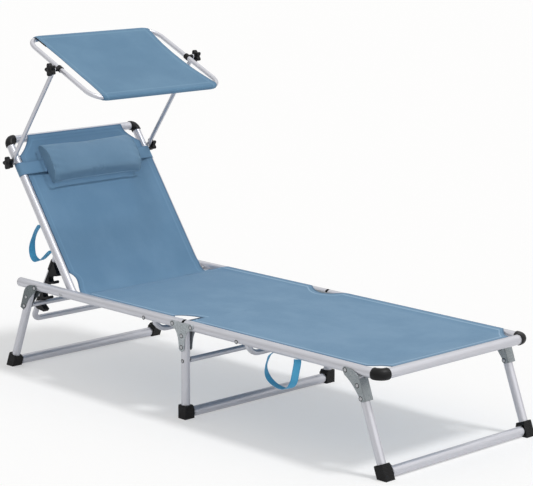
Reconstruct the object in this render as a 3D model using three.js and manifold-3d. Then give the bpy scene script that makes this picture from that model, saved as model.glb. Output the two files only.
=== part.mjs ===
// Folding sun lounger with a tilting canopy. Millimetres, +Z up, head end at -X, foot end at +X.
import * as THREE from 'three';
import { mergeVertices } from 'three/addons/utils/BufferGeometryUtils.js';
import Module from 'manifold-3d';

const wasm = await Module();
wasm.setup();

// Main frame
const railHalfSpacing = 287;
const railAxisHeight = 272;
const seatRailEnd = 757;
const footRailEnd = 745;
const hingeGapHalf = 3;

// Clearances shared by all fits, and the overrun of every cut
const fitGap = 0.3;
const pinGap = 0.35;
const overrun = 5;

// Tubes
const railRadius = 14;
const legRadius = 12.5;
const backRadius = 12.5;
const bailRadius = 9;
const braceRadius = 8;
const bowRadius = 8;
const armRadius = 6.5;
const canopyTubeRadius = 7;
const tubeWall = 1.3;
const railBendRadius = 32;
const tubeSides = 12;
const thinTubeSides = 8;
const pinSides = 8;
const bendSteps = 3;

// Legs
const legLean = 21.2;
const floorBarHeight = 15;
const rearFootOut = 798;
const frontFootOut = 762;
const legPivotDrop = 4;
const legPivotOffset = 27;
const legBendRadius = 26;
const legTopGap = 1;
const rearBraceDown = 79;
const midBraceDown = 104;

// Leg brackets, hinge plates and rivets
const plateThickness = 2.2;
const plateGap = 0.5;
const rivetRadius = 3.2;
const headRadius = 5.4;
const headHeight = 1.6;
const earRadius = 9.5;
const bracketLength = 92;
const bracketNeck = 14;
const bracketRivets = [47, 82];
const bracketWebTop = 31;
const hingePivotHalf = 38;
const hingePlateDown = 76;
const hingePlateFootHalf = 10;
const hingeRivetsDown = [30, 63];

// Shoes on the leg bends
const shoeWall = 2.4;
const shoeUp = 26;
const shoeInward = 26;
const shoeCorner = 6;
const shoeSole = 22;

// Back frame, hung between the seat rails
const backPivotX = 547;
const backPivotDrop = 5;
const backLean = 35.5;
const backRailGap = 8;
const backHalfSpacing = railHalfSpacing - railRadius - backRailGap - backRadius;
const backLength = 527;
const backBendRadius = 27;
const backTail = 14;
const pivotPinRadius = 4;
const pivotCollarRadius = 9;
const coverWall = 2;
const coverTail = 6;

// Support bail under the back, with two toothed racks
const bailPivotUp = 154;
const bailPivotBehind = 17;
const bailBackGap = 9;
const bailHalfSpacing = backHalfSpacing - backRadius - bailBackGap - bailRadius;
const bailLength = 277;
const bailBendRadius = 26;
const bailHead = 12;
const bailEarThickness = 3;
const bailEarRadius = 10;
const bailEarFront = 3.8;
const bailCollarRadius = 7;
const rackThickness = 13;
const rackNotches = 4;
const rackPitch = 30;
const rackNotchOut = 22;
const rackNotchGap = 2;
const rackNotchSlope = 36;
const rackTipOut = 42;
const rackTipUp = 35;
const rackTipWidth = 6;
const rackShoulderOut = 14;
const rackTopUp = 54;
const rackHookOut = 40;
const rackHookThickness = 13;
const rackFootDown = 36;

// Bowed cross tubes that stand clear under the cloth
const bowDepth = 50;
const bowSeatX = 165;
const bowFootX = 222;
const bowRailGap = 3;
const bowBendRadius = 30;
const bowHead = 2;
const bowCollarRadius = 6;

// Cloth
const clothThickness = 1.6;
const hemRadius = 2.6;
const hemGap = 0.3;
const seatClothLift = 8;
const backClothLift = 6;
const clothJointGap = 10;
const hingeCut = { along: 66, across: 24 };
const footCornerCut = { along: 62, across: 50 };
const seatHeadCut = { along: 56, across: 24 };
const backTopCut = { along: 52, across: 54 };
const backFootCut = { along: 54, across: 15 };
const cutCurveShare = 0.4;
const cutSteps = 5;

// Head pillow and its band
const pillowBelowTop = 108;
const pillowUp = backLength - pillowBelowTop;
const pillowEndGap = 76.5;
const pillowLength = 2 * (backHalfSpacing - pillowEndGap);
const pillowHeight = 138;
const pillowThickness = 50;
const pillowSeam = 6;
const pillowDrawIn = 10;
const pillowSteps = { across: 18, up: 12 };
const pillowCrownShare = 0.86;
const bandHeight = 42;
const bandAbovePillowMiddle = 2;
const bandUp = pillowUp + bandAbovePillowMiddle;
const bandThickness = 1.4;
const bandWrapShare = 0.6;

// Webbing carrying loops
const webWidth = 20;
const webThickness = 1.4;
const webStandOff = 2;
const webRise = 8;
const footLoop = { start: 337, end: 458, drop: 104, slant: -12 };
const backLoop = { start: 151, end: 240, drop: 110, slant: -14 };
const loopRoundnessShare = 0.85;
const loopSteps = 10;

// Canopy, its arms and the star knobs
const armPivotBelowTop = 76;
const armPivotUp = backLength - armPivotBelowTop;
const armLength = 372;
const armLean = 70.8;
const armBackGap = 2.7;
const armHalfSpacing = backHalfSpacing + backRadius + armBackGap + armRadius;
const armFlat = 4.6;
const armFlatLength = 26;
const armEyeRadius = 8;
const canopyLean = -10.8;
const canopyHalfLength = 179;
const canopyArmGap = 8.7;
const canopyHalfWidth = armHalfSpacing - armRadius - canopyArmGap - canopyTubeRadius;
const canopyBendRadius = 50;
const canopyJointGap = 0.8;
const canopyClothSideGap = 26;
const canopyClothHalf = canopyHalfWidth - canopyClothSideGap;
const canopyClothWaist = 13;
const sleeveGap = 0.6;
const sleeveWall = 1.6;
const clampLength = 22;
const clampWall = 3;
const clampBossRadius = 8;
const knobRadius = 20;
const knobLobes = 5;
const knobValley = 13;
const knobThickness = 15;
const knobHubRadius = 9;
const knobHubLength = 3.6;
const knobScrewRadius = 3;
const knobScrewInside = 6;
const knobWasherRadius = 8;
const knobLobeSteps = 6;

// End plugs and caps
const plugFlange = 2;
const plugDepth = 16;
const capFlange = 4;

const sides = [['near', -1], ['far', 1]];
const rad = THREE.MathUtils.degToRad;
const alongX = new THREE.Vector3(1, 0, 0);
const alongY = new THREE.Vector3(0, 1, 0);
const alongZ = new THREE.Vector3(0, 0, 1);

// Colours and finishes
const finishes = {
  aluminium: { color: 0xc4c5cc, roughness: 0.38, metalness: 0.75 },
  zinc: { color: 0xa2a8ac, roughness: 0.45, metalness: 0.8 },
  steel: { color: 0xb8bcc0, roughness: 0.3, metalness: 0.9 },
  blackPlastic: { color: 0x191a1c, roughness: 0.5, metalness: 0 },
  greyPlastic: { color: 0xa9abb0, roughness: 0.55, metalness: 0 },
  cloth: { color: 0x7096b4, roughness: 0.9, metalness: 0 },
  canopyCloth: { color: 0x6c91ac, roughness: 0.9, metalness: 0 },
  webbing: { color: 0x468caf, roughness: 0.8, metalness: 0 },
};

function addTo(group, name, geometry, finish) {
  const mesh = new THREE.Mesh(geometry, new THREE.MeshStandardMaterial(finishes[finish]));
  mesh.name = name;
  group.add(mesh);
}

// A group hinged at x, z and leant forward about Y
function hingedAt(x, z, lean) {
  const group = new THREE.Group();
  group.position.set(x, 0, z);
  group.rotation.y = rad(lean);
  return group;
}

// Joining and cutting
function toSolid(geometry) {
  const bare = geometry.clone();
  bare.deleteAttribute('normal');
  bare.deleteAttribute('uv');
  const merged = mergeVertices(bare);
  const vertProperties = Float32Array.from(merged.attributes.position.array);
  const triVerts = Uint32Array.from(merged.index.array);
  return new wasm.Manifold(new wasm.Mesh({ numProp: 3, vertProperties, triVerts }));
}

function toGeometry(solid) {
  const result = solid.getMesh();
  const geometry = new THREE.BufferGeometry();
  geometry.setAttribute('position', new THREE.BufferAttribute(result.vertProperties, 3));
  geometry.setIndex(new THREE.BufferAttribute(result.triVerts, 1));
  geometry.computeVertexNormals();
  return geometry;
}

function join(...geometries) {
  return toGeometry(geometries.map(toSolid).reduce((whole, next) => whole.add(next)));
}

function cut(geometry, ...tools) {
  return toGeometry(tools.map(toSolid).reduce((whole, next) => whole.subtract(next), toSolid(geometry)));
}

// Basic shapes
function crossRod(radius, x, z, y0, y1) {
  const length = Math.abs(y1 - y0);
  return new THREE.CylinderGeometry(radius, radius, length, pinSides).translate(x, (y0 + y1) / 2, z);
}

function shapeOf(points) {
  return new THREE.Shape(points.map(([a, b]) => new THREE.Vector2(a, b)));
}

// A flat plate whose outline lies in the XZ plane, between two places along Y
function plateXZ(shape, y0, y1) {
  const options = { depth: Math.abs(y1 - y0), bevelEnabled: false, curveSegments: cutSteps };
  const plate = new THREE.ExtrudeGeometry(shape, options);
  return plate.rotateX(Math.PI / 2).translate(0, Math.max(y0, y1), 0);
}

// The same for an outline in the YZ plane, between two places along X
function plateYZ(shape, x0, x1) {
  const options = { depth: Math.abs(x1 - x0), bevelEnabled: false, curveSegments: cutSteps };
  const turn = new THREE.Matrix4().makeBasis(alongY, alongZ, alongX);
  const plate = new THREE.ExtrudeGeometry(shape, options).applyMatrix4(turn);
  return plate.translate(Math.min(x0, x1), 0, 0);
}

// The same for an outline in the XY plane, up from z
function plateXY(shape, z, thickness) {
  const options = { depth: thickness, bevelEnabled: false, curveSegments: cutSteps };
  return new THREE.ExtrudeGeometry(shape, options).translate(0, 0, z);
}

function ringShape(radius, wall) {
  const shape = new THREE.Shape();
  shape.absarc(0, 0, radius, 0, 2 * Math.PI);
  if (wall > 0) shape.holes.push(new THREE.Path().absarc(0, 0, radius - wall, 0, 2 * Math.PI, true));
  return shape;
}

// A route in one plane, with straight runs and round bends
class BentRoute extends THREE.Curve {
  constructor(corners, bendRadius, across) {
    super();
    this.across = across;
    const points = corners.map((corner) => new THREE.Vector3(...corner));
    const headings = points.slice(1).map((point, i) => point.clone().sub(points[i]).normalize());
    this.stops = [{ point: points[0], heading: headings[0] }];
    for (let i = 1; i < points.length - 1; i += 1) {
      this.addBend(points[i], headings[i - 1], headings[i], bendRadius);
    }
    this.stops.push({ point: points.at(-1), heading: headings.at(-1) });
  }

  addBend(corner, into, out, bendRadius) {
    const turn = into.angleTo(out);
    const inward = out.clone().addScaledVector(into, -out.dot(into)).normalize();
    const start = corner.clone().addScaledVector(into, -bendRadius * Math.tan(turn / 2));
    for (let k = 0; k <= bendSteps; k += 1) {
      const angle = (turn * k) / bendSteps;
      const point = start.clone().addScaledVector(into, bendRadius * Math.sin(angle));
      point.addScaledVector(inward, bendRadius * (1 - Math.cos(angle)));
      const heading = into.clone().multiplyScalar(Math.cos(angle));
      this.stops.push({ point, heading: heading.addScaledVector(inward, Math.sin(angle)) });
    }
  }

  getSpacedPoints() {
    return this.stops.map((stop) => stop.point);
  }

  computeFrenetFrames() {
    const tangents = this.stops.map((stop) => stop.heading);
    const normals = tangents.map(() => this.across);
    const binormals = tangents.map((tangent) => new THREE.Vector3().crossVectors(tangent, this.across));
    return { tangents, normals, binormals };
  }
}

// A tube along a route; a wall of 0 makes it solid
function bentTube(corners, bendRadius, across, radius, wall = tubeWall) {
  const extrudePath = new BentRoute(corners, bendRadius, across);
  const steps = extrudePath.stops.length - 1;
  const curveSegments = (radius < legRadius ? thinTubeSides : tubeSides) / 2;
  return new THREE.ExtrudeGeometry(ringShape(radius, wall), { steps, extrudePath, curveSegments });
}

// A rivet along Y with a head at each end
function rivet(x, z, y0, y1) {
  const [low, high] = [Math.min(y0, y1), Math.max(y0, y1)];
  return [
    crossRod(rivetRadius, x, z, low - headHeight / 2, high + headHeight / 2),
    crossRod(headRadius, x, z, low - headHeight, low),
    crossRod(headRadius, x, z, high, high + headHeight),
  ];
}

function pinHole(radius, x, z, side, y0, y1) {
  return crossRod(radius + pinGap, x, z, side * (y0 - overrun), side * (y1 + overrun));
}

// Depths, from the middle plane, of what lies against the main rails
const railInner = railHalfSpacing - railRadius;
const railOuter = railHalfSpacing + railRadius;
const plateInner = railInner - plateGap;
const plateOuter = railOuter + plateGap;
const plateInnerFace = plateInner - plateThickness;
const plateOuterFace = plateOuter + plateThickness;
const legHalfSpacing = railHalfSpacing;

function throughRail(radius, x, z, side) {
  return pinHole(radius, x, z, side, railInner, railOuter);
}

// Legs: each a tube bent twice, with a shoe on each bend
const pivotAboveBar = railAxisHeight - legPivotDrop - floorBarHeight;
const legPivotOut = (footOut) =>
  footOut - pivotAboveBar * Math.tan(rad(legLean)) - legPivotOffset / Math.cos(rad(legLean));
const leaningFoot = -pivotAboveBar / Math.cos(rad(legLean)) - legPivotOffset * Math.tan(rad(legLean));
const topCornerRise = (legPivotOffset + legRadius) * Math.sin(rad(legLean));
const leaningTop = (legPivotDrop - railRadius - legTopGap - topCornerRise) / Math.cos(rad(legLean));

function legTube(x, top, foot, holes) {
  const corners = [
    [x, -legHalfSpacing, top], [x, -legHalfSpacing, foot],
    [x, legHalfSpacing, foot], [x, legHalfSpacing, top],
  ];
  return cut(bentTube(corners, legBendRadius, alongX, legRadius), ...holes);
}

function shoe(x, top, foot, side, pivotX, pivotZ, lean) {
  const reach = legRadius + fitGap + shoeWall;
  const outer = legHalfSpacing + reach;
  const inner = legHalfSpacing - shoeInward;
  const shape = shapeOf([
    [inner, foot - shoeSole], [outer - shoeCorner, foot - shoeSole], [outer, foot - shoeSole + shoeCorner],
    [outer, foot + shoeUp], [legHalfSpacing - reach, foot + shoeUp],
    [legHalfSpacing - reach, foot + reach + shoeCorner],
    [legHalfSpacing - reach - shoeCorner, foot + reach],
    [inner, foot + reach],
  ]);
  const body = plateYZ(shape, x - reach, x + reach);
  const route = [
    [x, 0, foot], [x, legHalfSpacing, foot], [x, legHalfSpacing, top],
  ];
  const bore = bentTube(route, legBendRadius, alongX, legRadius + fitGap, 0);
  const underFloor = new THREE.BoxGeometry(railOuter, 2 * railOuter, railAxisHeight);
  underFloor.translate(0, railHalfSpacing, -railAxisHeight / 2);
  underFloor.translate(pivotX < 0 ? -rearFootOut : frontFootOut, 0, 0);
  if (pivotX === 0) underFloor.translate(-frontFootOut, 0, 0);
  underFloor.translate(-pivotX, 0, -pivotZ).rotateY(rad(-lean));
  const solid = toSolid(body).subtract(toSolid(bore)).subtract(toSolid(underFloor));
  return toGeometry(side > 0 ? solid : solid.mirror([0, 1, 0]));
}

// A channel bracket that carries a leaning leg: two cheeks and a web, riveted
function legBracket(outward, side, rivetsDown, holes) {
  const webIn = legPivotOffset + legRadius + fitGap;
  const webOut = webIn + plateThickness;
  const shape = new THREE.Shape();
  shape.moveTo(outward * bracketNeck, -bracketLength);
  shape.lineTo(outward * webOut, -bracketLength);
  shape.lineTo(outward * webOut, -bracketWebTop);
  shape.lineTo(outward * legPivotOffset, -legPivotDrop);
  for (let k = 0; k <= cutSteps; k += 1) {
    const angle = rad(45 + (155 * k) / cutSteps);
    shape.lineTo(outward * earRadius * Math.cos(angle), earRadius * Math.sin(angle));
  }
  shape.lineTo(outward * bracketNeck / 2, -bracketLength / 2);
  const webWide = plateOuterFace - plateInnerFace;
  const web = new THREE.BoxGeometry(plateThickness, webWide, bracketLength - bracketWebTop);
  web.translate(outward * (webIn + webOut) / 2, side * legHalfSpacing, -(bracketLength + bracketWebTop) / 2);
  const places = [[0, 0], ...rivetsDown.map((down) => [outward * legPivotOffset, -down])];
  const rivets = places.flatMap(([x, z]) => rivet(x, z, side * plateInnerFace, side * plateOuterFace));
  const outer = plateXZ(shape, side * plateOuter, side * plateOuterFace);
  const inner = plateXZ(shape, side * plateInner, side * plateInnerFace);
  const body = join(outer, inner, web, ...rivets);
  return holes.length ? cut(body, ...holes) : body;
}

// A straight cross brace between the two tubes of a leg, held by a screw at each end
function crossBrace(x, z, headOut) {
  const reach = legHalfSpacing - legRadius - fitGap;
  const screwOut = headOut + headHeight;
  return join(
    crossRod(braceRadius, x, z, -reach, reach),
    crossRod(rivetRadius, x, z, -screwOut, screwOut),
    ...sides.map(([, side]) => crossRod(headRadius, x, z, side * headOut, side * screwOut)),
  );
}

function leaningLeg(word, outward, footOut, brace) {
  const pivotX = outward * legPivotOut(footOut);
  const pivotZ = railAxisHeight - legPivotDrop;
  const lean = -outward * legLean;
  const x = outward * legPivotOffset;
  const rivetsDown = brace ? bracketRivets.slice(0, 1) : bracketRivets;
  const rivetHoles = rivetsDown.flatMap((down) =>
    sides.map(([, side]) => throughRail(rivetRadius, x, -down, side)));
  const braceHoles = brace
    ? sides.map(([, side]) => throughRail(rivetRadius, x, -brace, side)) : [];
  const group = hingedAt(pivotX, pivotZ, lean);
  const tube = legTube(x, leaningTop, leaningFoot, [...rivetHoles, ...braceHoles]);
  addTo(group, `${word}_leg`, tube, 'aluminium');
  for (const [where, side] of sides) {
    const solid = shoe(x, leaningTop, leaningFoot, side, pivotX, pivotZ, lean);
    addTo(group, `${word}_shoe_${where}`, solid, 'blackPlastic');
    const holes = brace ? [
      pinHole(rivetRadius, x, -brace, side, plateInner, plateOuter),
      crossRod(braceRadius + pinGap, x, -brace, 0, side * legHalfSpacing),
    ] : [];
    addTo(group, `${word}_bracket_${where}`, legBracket(outward, side, rivetsDown, holes), 'zinc');
  }
  if (brace) addTo(group, `${word}_leg_brace`, crossBrace(x, -brace, plateOuterFace), 'aluminium');
  return group;
}

// Middle leg: it stands still, and both halves of the frame hinge on its plates
function hingePlates(side) {
  const shape = new THREE.Shape();
  shape.moveTo(-hingePlateFootHalf, -hingePlateDown);
  shape.lineTo(hingePlateFootHalf, -hingePlateDown);
  shape.quadraticCurveTo(hingePlateFootHalf, -hingeRivetsDown[0], hingePivotHalf, -earRadius);
  shape.absarc(hingePivotHalf, 0, earRadius, -Math.PI / 2, Math.PI / 2);
  shape.absarc(-hingePivotHalf, 0, earRadius, Math.PI / 2, (3 * Math.PI) / 2);
  shape.quadraticCurveTo(-hingePlateFootHalf, -hingeRivetsDown[0], -hingePlateFootHalf, -hingePlateDown);
  const places = [[-hingePivotHalf, 0], [hingePivotHalf, 0], ...hingeRivetsDown.map((down) => [0, -down])];
  const rivetIn = side * (plateInnerFace - fitGap);
  const rivets = places.flatMap(([x, z]) => rivet(x, z, rivetIn, side * plateOuterFace));
  const outer = join(plateXZ(shape, side * plateOuter, side * plateOuterFace), ...rivets);
  const holes = places.map(([x, z]) => pinHole(rivetRadius, x, z, side, plateInnerFace, plateInner));
  const inner = cut(plateXZ(shape, side * plateInner, side * plateInnerFace), ...holes);
  return { outer, inner };
}

function middleLeg() {
  const group = hingedAt(0, railAxisHeight, 0);
  const top = -railRadius - legTopGap;
  const foot = floorBarHeight - railAxisHeight;
  const holes = sides.flatMap(([, side]) =>
    [...hingeRivetsDown, midBraceDown].map((down) => throughRail(rivetRadius, 0, -down, side)));
  addTo(group, 'middle_leg', legTube(0, top, foot, holes), 'aluminium');
  const brace = crossBrace(0, -midBraceDown, legHalfSpacing + legRadius + fitGap);
  addTo(group, 'middle_leg_brace', brace, 'aluminium');
  for (const [where, side] of sides) {
    const { outer, inner } = hingePlates(side);
    addTo(group, `hinge_plate_outer_${where}`, outer, 'zinc');
    addTo(group, `hinge_plate_inner_${where}`, inner, 'zinc');
    const solid = shoe(0, top, foot, side, 0, railAxisHeight, 0);
    addTo(group, `middle_shoe_${where}`, solid, 'blackPlastic');
  }
  return group;
}

// A plug in the end of a rail: a flange outside and a spigot inside
function plug(endX, outward, flange, side) {
  const inside = railRadius - tubeWall - fitGap;
  const face = endX + outward * fitGap;
  const disc = new THREE.CylinderGeometry(railRadius, railRadius, flange, tubeSides);
  const spigot = new THREE.CylinderGeometry(inside, inside, plugDepth + flange, tubeSides);
  disc.rotateZ(Math.PI / 2).translate(face + (outward * flange) / 2, side * railHalfSpacing, 0);
  spigot.rotateZ(Math.PI / 2).translate(face - (outward * (plugDepth - flange)) / 2, side * railHalfSpacing, 0);
  return join(disc, spigot);
}

// A bowed cross tube, hung from both rails by a rivet at each end
function bowTube(x) {
  const half = railInner - bowRailGap - bowRadius;
  const corners = [
    [x, -half, bowHead], [x, -half, -bowDepth], [x, half, -bowDepth], [x, half, bowHead],
  ];
  const tube = bentTube(corners, bowBendRadius, alongX, bowRadius);
  const z = -railRadius / 2;
  const ends = sides.flatMap(([, side]) => [
    crossRod(rivetRadius, x, z, side * half, side * (railOuter + fitGap + headHeight)),
    crossRod(headRadius, x, z, side * (railOuter + fitGap), side * (railOuter + fitGap + headHeight)),
    crossRod(bowCollarRadius, x, z, side * half, side * (railInner - fitGap)),
  ]);
  return join(tube, ...ends);
}

// Cloth panel: a flat sheet with a rounded cut at each corner and a hem bead along both rails
function clothPanel(x0, x1, half, lift, startCut, endCut) {
  const shape = new THREE.Shape();
  const [railStart, railEnd] = [x0 + startCut.along, x1 - endCut.along];
  const [startHalf, endHalf] = [half - startCut.across, half - endCut.across];
  const startBend = x0 + startCut.along * cutCurveShare;
  const endBend = x1 - endCut.along * cutCurveShare;
  shape.moveTo(x0, -startHalf);
  shape.quadraticCurveTo(startBend, -startHalf, railStart, -half);
  shape.lineTo(railEnd, -half);
  shape.quadraticCurveTo(endBend, -endHalf, x1, -endHalf);
  shape.lineTo(x1, endHalf);
  shape.quadraticCurveTo(endBend, endHalf, railEnd, half);
  shape.lineTo(railStart, half);
  shape.quadraticCurveTo(startBend, startHalf, x0, startHalf);
  const sheet = plateXY(shape, lift, clothThickness);
  const beads = sides.map(([, side]) => {
    const bead = new THREE.CylinderGeometry(hemRadius, hemRadius, railEnd - railStart, pinSides);
    bead.rotateZ(Math.PI / 2);
    return bead.translate((railStart + railEnd) / 2, side * (half - hemRadius), lift + clothThickness / 2);
  });
  return join(sheet, ...beads);
}

// How far the hem reaches out, so that its bead lies against a rail of this radius
function clothReach(halfSpacing, radius, lift) {
  const apart = radius + hemRadius + hemGap;
  return halfSpacing + hemRadius - Math.sqrt(apart ** 2 - (lift + clothThickness / 2) ** 2);
}

// A webbing loop that hangs from a rail along X, seen as a band in the XZ plane
function webLoop({ start, end, drop, slant }, face, side) {
  const middle = (start + end) / 2;
  const half = (end - start) / 2;
  const shape = new THREE.Shape();
  const outline = (grow, from, to) => {
    for (let k = 0; k <= loopSteps; k += 1) {
      const angle = from + ((to - from) * k) / loopSteps;
      const [c, d] = [Math.cos(angle), Math.sin(angle)];
      const down = (drop - webWidth / 2 + grow) * Math.abs(d) ** loopRoundnessShare;
      const out = (half + grow) * Math.sign(c) * Math.abs(c) ** loopRoundnessShare;
      const x = middle + out + (slant * down) / drop;
      shape.lineTo(x, -down);
    }
  };
  shape.moveTo(middle + half + webWidth / 2, webRise);
  outline(webWidth / 2, 0, Math.PI);
  shape.lineTo(middle - half - webWidth / 2, webRise);
  shape.lineTo(middle - half + webWidth / 2, webRise);
  outline(-webWidth / 2, Math.PI, 0);
  shape.lineTo(middle + half - webWidth / 2, webRise);
  const y0 = side * (face + webStandOff);
  const y1 = side * (face + webStandOff + webThickness);
  const studs = [start, end].map((x) => crossRod(rivetRadius, x, 0, side * (face + fitGap), y1));
  return join(plateXZ(shape, y0, y1), ...studs);
}

// Seat frame
const rearLegPivot = -legPivotOut(rearFootOut);
const frontLegPivot = legPivotOut(frontFootOut);

function seatFrame() {
  const group = hingedAt(0, railAxisHeight, 0);
  const inEnd = -hingeGapHalf - plugFlange;
  for (const [where, side] of sides) {
    const corners = [[-seatRailEnd, side * railHalfSpacing, 0], [inEnd, side * railHalfSpacing, 0]];
    const rail = cut(
      bentTube(corners, 0, alongY, railRadius),
      throughRail(rivetRadius, -hingePivotHalf, 0, side),
      throughRail(rivetRadius, rearLegPivot, -legPivotDrop, side),
      throughRail(rivetRadius, -bowSeatX, -railRadius / 2, side),
      throughRail(pivotPinRadius, -backPivotX, -backPivotDrop, side),
    );
    addTo(group, `seat_rail_${where}`, rail, 'aluminium');
    addTo(group, `seat_rail_cap_${where}`, plug(-seatRailEnd, -1, capFlange, side), 'greyPlastic');
    addTo(group, `seat_hinge_plug_${where}`, plug(inEnd, 1, plugFlange - fitGap, side), 'blackPlastic');
    addTo(group, `back_pivot_pin_${where}`, pivotPin(side), 'steel');
  }
  addTo(group, 'seat_bow', bowTube(-bowSeatX), 'aluminium');
  const half = clothReach(railHalfSpacing, railRadius, seatClothLift);
  const head = -backPivotX + clothJointGap;
  const cloth = clothPanel(head, -hingeGapHalf, half, seatClothLift, seatHeadCut, hingeCut);
  addTo(group, 'seat_cloth', cloth, 'cloth');
  return group;
}

// The shouldered pin that carries the back frame on a seat rail
function pivotPin(side) {
  const x = -backPivotX;
  const z = -backPivotDrop;
  const backIn = backHalfSpacing - backRadius - fitGap;
  const backOut = backHalfSpacing + backRadius + fitGap;
  return join(
    crossRod(pivotPinRadius, x, z, side * (backIn - headHeight), side * (railOuter + fitGap + headHeight)),
    crossRod(headRadius, x, z, side * (railOuter + fitGap), side * (railOuter + fitGap + headHeight)),
    crossRod(pivotCollarRadius, x, z, side * backOut, side * (railInner - fitGap)),
    crossRod(headRadius, x, z, side * (backIn - headHeight), side * backIn),
  );
}

// Foot frame: one tube bent round the foot end
function cornerCover(corners, bendRadius, across, radius) {
  return bentTube(corners, bendRadius, across, radius + fitGap + coverWall, coverWall);
}

function footFrame() {
  const group = hingedAt(0, railAxisHeight, 0);
  const inEnd = hingeGapHalf + plugFlange;
  const corners = [
    [inEnd, -railHalfSpacing, 0], [footRailEnd, -railHalfSpacing, 0],
    [footRailEnd, railHalfSpacing, 0], [inEnd, railHalfSpacing, 0],
  ];
  const holes = sides.flatMap(([, side]) => [
    throughRail(rivetRadius, hingePivotHalf, 0, side),
    throughRail(rivetRadius, frontLegPivot, -legPivotDrop, side),
    throughRail(rivetRadius, bowFootX, -railRadius / 2, side),
  ]);
  const frame = cut(bentTube(corners, railBendRadius, alongZ, railRadius), ...holes);
  addTo(group, 'foot_frame', frame, 'aluminium');
  const tail = railBendRadius + coverTail;
  for (const [where, side] of sides) {
    const route = [
      [footRailEnd - tail, side * railHalfSpacing, 0], [footRailEnd, side * railHalfSpacing, 0],
      [footRailEnd, side * (railHalfSpacing - tail), 0],
    ];
    const cover = cornerCover(route, railBendRadius, alongZ, railRadius);
    addTo(group, `foot_corner_${where}`, cover, 'blackPlastic');
    addTo(group, `foot_hinge_plug_${where}`, plug(inEnd, -1, plugFlange - fitGap, side), 'blackPlastic');
  }
  addTo(group, 'foot_bow', bowTube(bowFootX), 'aluminium');
  const half = clothReach(railHalfSpacing, railRadius, seatClothLift);
  const footEdge = footRailEnd - (railHalfSpacing - half);
  const cloth = clothPanel(hingeGapHalf, footEdge, half, seatClothLift, hingeCut, footCornerCut);
  addTo(group, 'foot_cloth', cloth, 'cloth');
  addTo(group, 'foot_loop', webLoop(footLoop, railOuter, -1), 'webbing');
  return group;
}

// Back frame, in its own axes: Z up the back, X to the front
function backFrame() {
  const group = hingedAt(-backPivotX, railAxisHeight - backPivotDrop, -backLean);
  const corners = [
    [0, -backHalfSpacing, -backTail], [0, -backHalfSpacing, backLength],
    [0, backHalfSpacing, backLength], [0, backHalfSpacing, -backTail],
  ];
  const inFace = backHalfSpacing - backRadius;
  const outFace = backHalfSpacing + backRadius;
  const holes = sides.flatMap(([, side]) => [
    pinHole(pivotPinRadius, 0, 0, side, inFace, outFace),
    pinHole(knobScrewRadius, 0, armPivotUp, side, backHalfSpacing, outFace),
    pinHole(rivetRadius, 0, bailPivotUp, side, inFace, inFace),
  ]);
  const frame = cut(bentTube(corners, backBendRadius, alongX, backRadius), ...holes);
  addTo(group, 'back_frame', frame, 'aluminium');
  const tail = backBendRadius + coverTail;
  for (const [where, side] of sides) {
    const route = [
      [0, side * backHalfSpacing, backLength - tail], [0, side * backHalfSpacing, backLength],
      [0, side * (backHalfSpacing - tail), backLength],
    ];
    const cover = cornerCover(route, backBendRadius, alongX, backRadius);
    addTo(group, `back_corner_${where}`, cover, 'blackPlastic');
    addTo(group, `bail_ear_${where}`, bailEar(side), 'zinc');
  }
  addTo(group, 'back_cloth', backCloth(), 'cloth');
  addTo(group, 'pillow', pillow(), 'cloth');
  addTo(group, 'pillow_band', pillowBand(), 'cloth');
  const hangBehind = new THREE.Matrix4().makeBasis(alongZ, alongY.clone().negate(), alongX);
  const loop = webLoop(backLoop, backHalfSpacing + backRadius, 1).applyMatrix4(hangBehind);
  addTo(group, 'back_loop', loop, 'webbing');
  group.add(supportBail(), canopyArms());
  return group;
}

function backCloth() {
  const half = clothReach(backHalfSpacing, backRadius, backClothLift);
  const top = backLength - (backHalfSpacing - half);
  const lift = -backClothLift - clothThickness;
  const flat = clothPanel(clothJointGap, top, half, lift, backFootCut, backTopCut);
  return flat.rotateY(-Math.PI / 2);
}

// The ear on the inside of a back rail, with the pin that the bail swings on
function bailEar(side) {
  const face = backHalfSpacing - backRadius - fitGap;
  const earIn = face - bailEarThickness;
  const bailOut = bailHalfSpacing + bailRadius + fitGap;
  const bailIn = bailHalfSpacing - bailRadius - fitGap;
  const shape = new THREE.Shape();
  shape.absarc(-bailPivotBehind, bailPivotUp, bailEarRadius, Math.PI / 2, (3 * Math.PI) / 2);
  shape.absarc(0, bailPivotUp, bailEarFront, -Math.PI / 2, Math.PI / 2);
  return join(
    plateXZ(shape, side * face, side * earIn),
    crossRod(rivetRadius, 0, bailPivotUp, side * earIn, side * backHalfSpacing),
    crossRod(pivotPinRadius, -bailPivotBehind, bailPivotUp, side * face, side * (bailIn - headHeight)),
    crossRod(bailCollarRadius, -bailPivotBehind, bailPivotUp, side * face, side * bailOut),
    crossRod(headRadius, -bailPivotBehind, bailPivotUp, side * bailIn, side * (bailIn - headHeight)),
  );
}

// Support bail: it leans so that the lowest notch of its racks meets the rear leg's brace
function braceFromBailPivot() {
  const legTurn = rad(legLean);
  const brace = new THREE.Vector2(-legPivotOffset, -rearBraceDown);
  const braceX = rearLegPivot + brace.x * Math.cos(legTurn) + brace.y * Math.sin(legTurn);
  const braceZ = railAxisHeight - legPivotDrop - brace.x * Math.sin(legTurn) + brace.y * Math.cos(legTurn);
  const x = braceX + backPivotX;
  const z = braceZ - railAxisHeight + backPivotDrop;
  const turn = rad(backLean);
  const acrossBack = x * Math.cos(turn) + z * Math.sin(turn) + bailPivotBehind;
  const upBack = -x * Math.sin(turn) + z * Math.cos(turn) - bailPivotUp;
  return new THREE.Vector2(acrossBack, upBack);
}

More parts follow.
